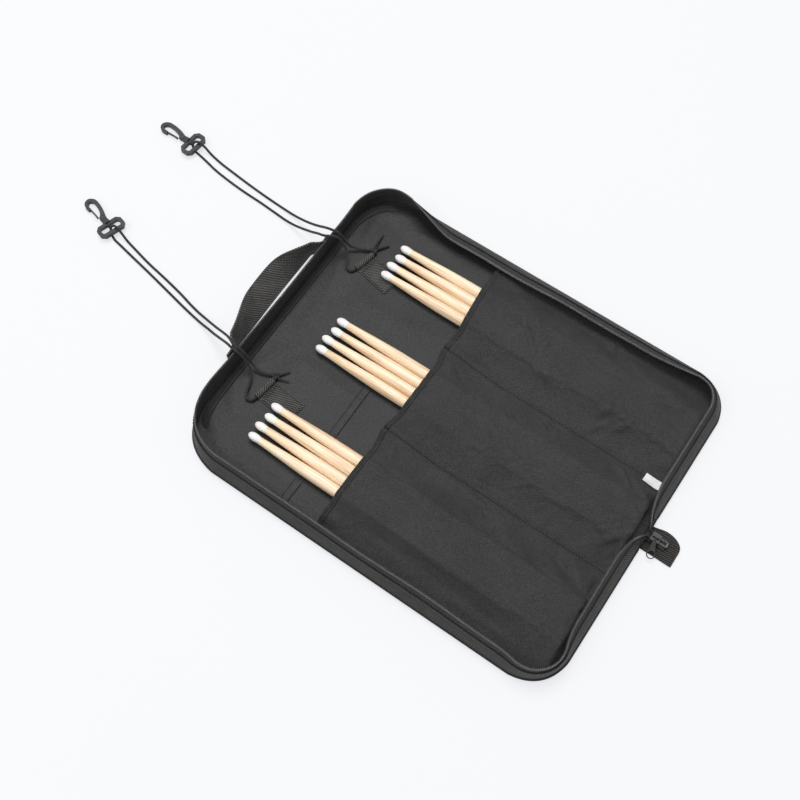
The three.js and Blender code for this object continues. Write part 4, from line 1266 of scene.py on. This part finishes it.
def handle_point(x, rise):
    """The strap's middle surface: on edge where it is sewn, off the wall and lying back in between."""
    free = smooth01((HANDLE_FREE - np.abs(x - HANDLE_X)) / 16)
    peak = np.exp(-((x - 13) / np.where(x < 13, 55, 42)) ** 2)
    upright = smooth01((x - 30) / 40) * smooth01((97 - x) / 15)
    lean = 0.04 + 1.08 * peak - 0.2 * upright + 0.12 * peak * (rise / HANDLE_WIDTH - 0.5)
    rise = rise * (1 - 0.34 * smooth01((x - 62) / 38))
    y = handle_end(x) + 2.5 + 10.5 * free + rise * np.sin(lean)
    return np.stack([x, y, 0.8 + rise * np.cos(lean)], axis=-1)


def make_handle():
    rises = np.array([0, 0.5, 1.5, 4, 8, 12, 15.5, 19, 23, 27, 29.5, 30.5, 31])
    for leaf, side in SIDES.items():
        reach = HANDLE_HALF + side * HANDLE_X
        xs = np.linspace(0, reach, 76) * side
        X, R = crossing(xs, rises)
        strap = thick_sheet(handle_point(X, R), 1.7, level_strip(X, R))
        piece = new_object(f"{leaf}_handle_strap", *strap)
        dress(piece, "handle")
        if leaf == "near":
            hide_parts("handle")
        bend_with_leaf(piece)
        pile = Pile()
        inside, outside = reach - 14, reach - 2
        box = [(inside, 2.5), (outside, 2.5), (outside, 28.5), (inside, 28.5), (inside, 2.5), (outside, 28.5)]
        box += [(outside, 2.5), (inside, 28.5)]
        for a, b in zip(box, box[1:]):
            t = np.linspace(0, 1, 12)
            line = handle_point(side * (a[0] + (b[0] - a[0]) * t), a[1] + (b[1] - a[1]) * t)
            thread_line(pile, line + np.array([0, 0.95, 0]), (0, 1.0, 0), pitch=3.0, radius=0.35)
        for rise in (1.9, 29.1):
            x = np.linspace(0.5, inside - 2, 60) * side
            line = handle_point(x, np.full(60, rise))
            above = handle_point(x, np.full(60, rise + 0.5))
            run = np.gradient(line, axis=0)
            out = np.cross(run, above - line)
            out /= np.linalg.norm(out, axis=1, keepdims=True)
            out *= np.sign(out[:, 1:2])
            for face in (-1, 1):
                thread_line(pile, line + face * out * 0.9, face * out)
        piece = dress(pile.build(f"{leaf}_handle_stitching"), "thread")
        bend_with_leaf(piece)


# ---- webbing loops that hold the cords ---------------------------------------------------------------
LOOPS = {"near": (-94.0, 187.5, 0.1), "far": (102.8, 193.5, 0.18)}
LOOP_WIDTH = 27.0
LOOP_TUBE_Z = 8.5


def make_loop(leaf):
    """A strap sewn down flat, with its end rolled into a tube round the cord."""
    cx, cy, turn = LOOPS[leaf]
    inner, outer = 2.05, 3.3
    middle = (inner + outer) / 2
    flat = [(x, -2.55) for x in np.linspace(-5, -46, 30)]
    join = [(-1.6, -2.62), (-3.2, -2.58)]
    section = np.array([(0.0, -2.68)] + join + flat)
    roll_line = np.array([(middle * math.cos(math.radians(a)), middle * math.sin(math.radians(a)))
                          for a in np.linspace(-88, 232, 36)])
    profile = np.concatenate([section[::-1], roll_line])
    across = np.linspace(-LOOP_WIDTH / 2, LOOP_WIDTH / 2, 33)
    P = np.zeros((len(profile), len(across), 3))
    c, s = math.cos(-turn), math.sin(-turn)
    P[:, :, 0] = cx + across[None, :] * c - profile[:, :1] * s
    P[:, :, 1] = cy + across[None, :] * s + profile[:, :1] * c
    P[:, :, 2] = LOOP_TUBE_Z + profile[:, 1:2]
    along = distance_along(profile)
    strip = np.zeros_like(P)
    strip[:, :, 0] = along[:, None]
    strip[:, :, 1] = across[None, :]
    piece = new_object(f"{leaf}_loop_strap", *thick_sheet(P, 1.15, strip))
    dress(piece, "patch")
    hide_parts(f"{leaf}_webbing_loop")
    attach(piece, f"{leaf}_half")
    pile = Pile()

    def place(u, v):
        return np.array([cx + u * c - v * s, cy + u * s + v * c, LOOP_TUBE_Z - 2.55 + 0.75])

    w = LOOP_WIDTH / 2 - 1.6
    corners = [(-w, -6), (-w, -44.4), (w, -44.4), (w, -6), (-w, -6)]
    corners += [(-w, -8.2), (w, -8.2)]
    for a, b in zip(corners, corners[1:]):
        run = [np.array(a) + (np.array(b) - np.array(a)) * t for t in np.linspace(0, 1, 20)]
        path = np.array([place(u, v) for u, v in run])
        thread_line(pile, path, UP, pitch=3.1, radius=0.36)
    piece = dress(pile.build(f"{leaf}_loop_stitching"), "dark_thread")
    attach(piece, f"{leaf}_half")


# ---- cords -------------------------------------------------------------------------------------------
CORD_R = 1.5
CORD_ROUTES = {
    "near": [
        (-76.3, 185.8, 8.6), (-80.6, 186.2, 8.5), (-94, 187.5, 8.5), (-107.4, 188.9, 8.5),
        (-113.5, 190.6, 8.5), (-115.3, 196.2, 8.8), (-109.5, 201.2, 9), (-99, 205, 9.3),
        (-90.5, 209.2, 10.8), (-86, 214, 15), (-84.8, 219.3, 24), (-84.9, 225, 32.8), (-85.2, 231, 36),
        (-85.2, 237, 36.2), (-83, 245, 33.4), (-80.2, 254, 26.8), (-77.5, 264, 20.2), (-74.8, 274, 14),
        (-72, 284, 8.8), (-69.6, 295, 4.6), (-67.2, 308, 2.5), (-63.5, 328, 1.8), (-58, 355, 1.8),
        (-51, 390, 1.8), (-45, 422, 1.8), (-41.3, 441, 1.7), (-39.3, 451.4, 1.6), (-37.4, 456.1, 1.6),
        (-35.1, 460.6, 1.6), (-32.2, 463.4, 3.1), (-30.5, 463.9, 6.2), (-29, 462.4, 9),
        (-28.3, 458.7, 11.1), (-28.8, 453.6, 10.7), (-30, 447.7, 7.4), (-32.4, 438, 2.9),
        (-35.5, 424, 1.8), (-41, 400, 1.8), (-46.6, 368, 1.8), (-52, 341, 1.8), (-56, 325, 1.9),
        (-59.4, 310, 3), (-62, 298, 6.2), (-64.8, 287, 10.8), (-67.8, 276, 16.5), (-70.8, 265, 23.2),
        (-73.6, 256, 29.6), (-76.3, 248.5, 34.5), (-78.8, 243, 36.2), (-80.9, 238.3, 36.6),
        (-81.2, 232.5, 36.6), (-80.9, 226.5, 34.5), (-80.6, 220.5, 26), (-80.6, 215, 16.5),
        (-81.2, 209, 11.5), (-80.4, 201, 9.6), (-78, 194.5, 9), (-76.6, 191, 9),
    ],
    "far": [
        (120.7, 190.4, 8.6), (116.1, 191.1, 8.5), (102.8, 193.5, 8.5), (89.5, 195.9, 8.5),
        (83.6, 198.2, 8.5), (83.4, 204, 8.9), (89, 208.6, 9.2), (95.5, 212.5, 10.8), (99.6, 217.2, 15.5),
        (100.6, 222, 23.5), (99.3, 227, 31.8), (95.8, 231.6, 36), (91.6, 236.8, 37), (90, 243, 35.6),
        (90.6, 250, 32), (92.2, 259, 25), (94, 269, 18), (95.6, 280, 11.5), (97, 291.5, 6.2),
        (98.4, 305, 2.8), (100, 322, 1.8), (101.5, 344.5, 1.8), (102.6, 372, 1.8), (104.6, 396, 1.8),
        (107.5, 418, 1.8), (111.5, 436, 1.7), (114.1, 448.5, 1.6), (114.9, 453.4, 1.6),
        (116.1, 458.4, 1.6), (118.2, 461.8, 3.1), (119.8, 462.6, 6.2), (121.6, 461.5, 9),
        (123.1, 458, 11.1), (123.8, 453, 10.7), (124, 447, 7.4), (122.6, 437, 2.9), (119.6, 420, 1.8),
        (116.8, 396, 1.8), (114.2, 371, 1.8), (112.2, 346, 1.8), (110.9, 322, 1.8), (109.8, 305, 2.8),
        (108.3, 292, 6.4), (106.4, 280.5, 11.8), (104.6, 269.5, 18), (103.1, 259, 24.8),
        (101.8, 250, 31.5), (101, 243, 36), (101.6, 236.5, 37), (103.4, 231, 35), (105, 226.5, 28.5),
        (106.3, 222, 20), (108.2, 217, 13.5), (111.4, 210.5, 10.4), (115, 203.5, 9.4), (118, 198.6, 9.2),
        (119.4, 196, 9.2),
    ],
}
# Each knot's centre, its turn in degrees, and its two tails.
KNOTS = {
    "near": ((-75.8, 187, 9.6), -70,
             [[(-70, 183, 8.6), (-62, 177.7, 7.2)], [(-75.2, 179, 8.2), (-72.5, 170.7, 7)]]),
    "far": ((121, 192.8, 9.6), -40,
            [[(132, 195.8, 8.8), (145.6, 197.2, 7.2)], [(128.5, 188.8, 8.2), (137.6, 183, 7)]]),
}


def knot_line(centre, turn):
    """A tight overhand knot, as a closed trefoil."""
    t = np.linspace(0, 2 * math.pi, 90)
    x = (np.sin(t) + 2 * np.sin(2 * t)) * 1.25
    y = (np.cos(t) - 2 * np.cos(2 * t)) * 1.25
    z = -np.sin(3 * t) * 1.3
    c, s = math.cos(math.radians(turn)), math.sin(math.radians(turn))
    return np.stack([centre[0] + x * c - y * s, centre[1] + x * s + y * c, centre[2] + z], axis=1)


def make_cord(leaf):
    route = resample(CORD_ROUTES[leaf], 1.6)
    cord = new_object(f"{leaf}_drawcord", *tube_shape(route, CORD_R, sides=12))
    dress(cord, "cord")
    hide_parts(f"{leaf}_cord")
    pile = Pile()
    centre, turn, tails = KNOTS[leaf]
    pile.add(*tube_shape(knot_line(centre, turn), CORD_R * 0.98, sides=12))
    for tail in tails:
        pile.add(*tube_shape(resample([centre] + tail, 1.0), CORD_R * 0.97, sides=12))
    knot = dress(pile.build(f"{leaf}_cord_knot"), "cord")
    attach(knot, f"{leaf}_half")
    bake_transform(cord)


# ---- zip end, slider, puller, label ------------------------------------------------------------------
CHAIN_Z = 6.6


TAB_LEFT = -14.0
TAB_BEND_Y = -256.0          # the tab's right side is straight above this and round below it


def tab_point(y, t):
    """A point of the tab's middle surface, t of the way across it at y."""
    beyond = y - TAB_BEND_Y
    if beyond > 0:
        right = 18 - 3 * smooth01(beyond / 16)
    else:
        right = 5 + 13 * math.sqrt(max(1 - (beyond / 21) ** 2, 0))
    wave = 0.5 * math.sin(y / 6.0 + t * 2) * smooth01((-244 - y) / 14) * 0.6
    return TAB_LEFT + (max(right, 4.5) - TAB_LEFT) * t, y, 1.5 + wave


def make_zip_end():
    """The zip's last teeth on their tape, out over the tab, and the tab itself."""
    xs = np.linspace(-6.2, 6.2, 15)
    ys = np.linspace(-262, -236, 30)
    X, Y = crossing(xs, ys)
    X = X + ZIP_X
    Z = CHAIN_Z - 1.9 + 0 * X
    sheet = thick_sheet(np.stack([X, Y, Z], axis=2), 0.7, level_strip(Y, X))
    tape = dress(new_object("zip_end_tape", *sheet), "tape")
    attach(tape, "spine")
    teeth = Pile()
    for side in (-1, 1):
        for y in np.arange(-261.4, -239.4, 1.9):
            a = np.array([ZIP_X + side * 3.6, y, CHAIN_Z])
            shape = [a, a - [side * 1.2, 0, 0], a - [side * 2.2, 0, 0], a - [side * 2.7, 0, 0]]
            teeth.add(*tube_shape(shape, [0.6, 0.72, 0.85, 0.5], sides=8))
        core = [(ZIP_X + side * 2.9, y, CHAIN_Z) for y in np.linspace(-261.8, -239.6, 12)]
        teeth.add(*tube_shape(core, 0.62, sides=8))
    stop = [(ZIP_X + x, -262.6, CHAIN_Z - 0.2) for x in np.linspace(-3.3, 3.3, 8)]
    teeth.add(*tube_shape(stop, [1.0, 1.35, 1.4, 1.4, 1.4, 1.4, 1.35, 1.0], sides=10))
    piece = dress(teeth.build("zip_end_teeth"), "coil")
    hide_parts("zip_end")
    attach(piece, "spine")

    rows = []
    for y in -238.5 - 38.5 * np.linspace(0, 1, 44):
        rows.append([tab_point(y, t) for t in np.linspace(0, 1, 24)])
    P = np.array(rows).transpose(1, 0, 2)
    tab = thick_sheet(P, 1.5, level_strip(P[:, :, 1], P[:, :, 0]))
    piece = dress(new_object("end_tab_webbing", *tab), "gusset")
    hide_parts("zip_end_tab")
    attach(piece, "spine")
    stitches = Pile()
    inset = [(-12, -241), (-12, -274.5), (4, -274.5), (12, -269.5), (15.2, -262), (15.8, -252), (13.4, -243)]
    line = resample([(x, y, 2.4) for x, y in inset], 1.5)
    thread_line(stitches, line, UP, lift=0.3)
    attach(dress(stitches.build("end_tab_stitching"), "thread"), "spine")


def make_label():
    """A blank woven label, sewn into the end seam and curling up a little."""
    _, high = node_box("label")
    u = np.linspace(-5.1, 5.1, 12)
    v = np.linspace(0, 25, 30)
    U, V = crossing(u, v)
    c, s = math.cos(-0.03), math.sin(-0.03)
    X = 55.4 + U * c - V * s
    Y = -HALF_LENGTH + 9.5 + U * s + V * c
    curl = 0.8 * smooth01(V / 25) * (1 + 0.5 * np.sin(U / 3))
    Z = np.maximum(slack_surface(X, Y) + 0.9, high[2] - 0.3) + curl
    sheet = thick_sheet(np.stack([X, Y, Z], axis=2), 0.35)
    piece = dress(new_object("blank_label", *sheet), "label")
    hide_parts("label")
    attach(piece, "far_half")


def soften(node, width, segments, material):
    """Rounds a CAD part's edges and gives it its material."""
    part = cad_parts[node]
    dress(part, material)
    bevel = part.modifiers.new("rounded_edges", "BEVEL")
    bevel.width = width * MM
    bevel.segments = segments
    bevel.limit_method = "ANGLE"
    bevel.angle_limit = math.radians(35)
    part.data.shade_smooth()
    part.data.set_sharp_from_angle(angle=math.radians(38))
    return part


# ---- everything together -----------------------------------------------------------------------------
for leaf in SIDES:
    make_panel(leaf)
    make_lining(leaf)
    make_walls(leaf)
    make_wall_seam(leaf)
    make_loop(leaf)
    make_cord(leaf)
    for part, width in (("hook_frame", 0.9), ("hook", 1.1), ("hook_gate", 0.4)):
        soften(f"{leaf}_{part}", width, 3, "plastic")
make_lining_seam()
make_pockets()
make_sticks()
make_handle()
make_zip_end()
make_label()
soften("zip_slider", 0.5, 3, "metal")
soften("zip_puller", 0.3, 2, "metal")
make_stage()
make_camera()
make_light()
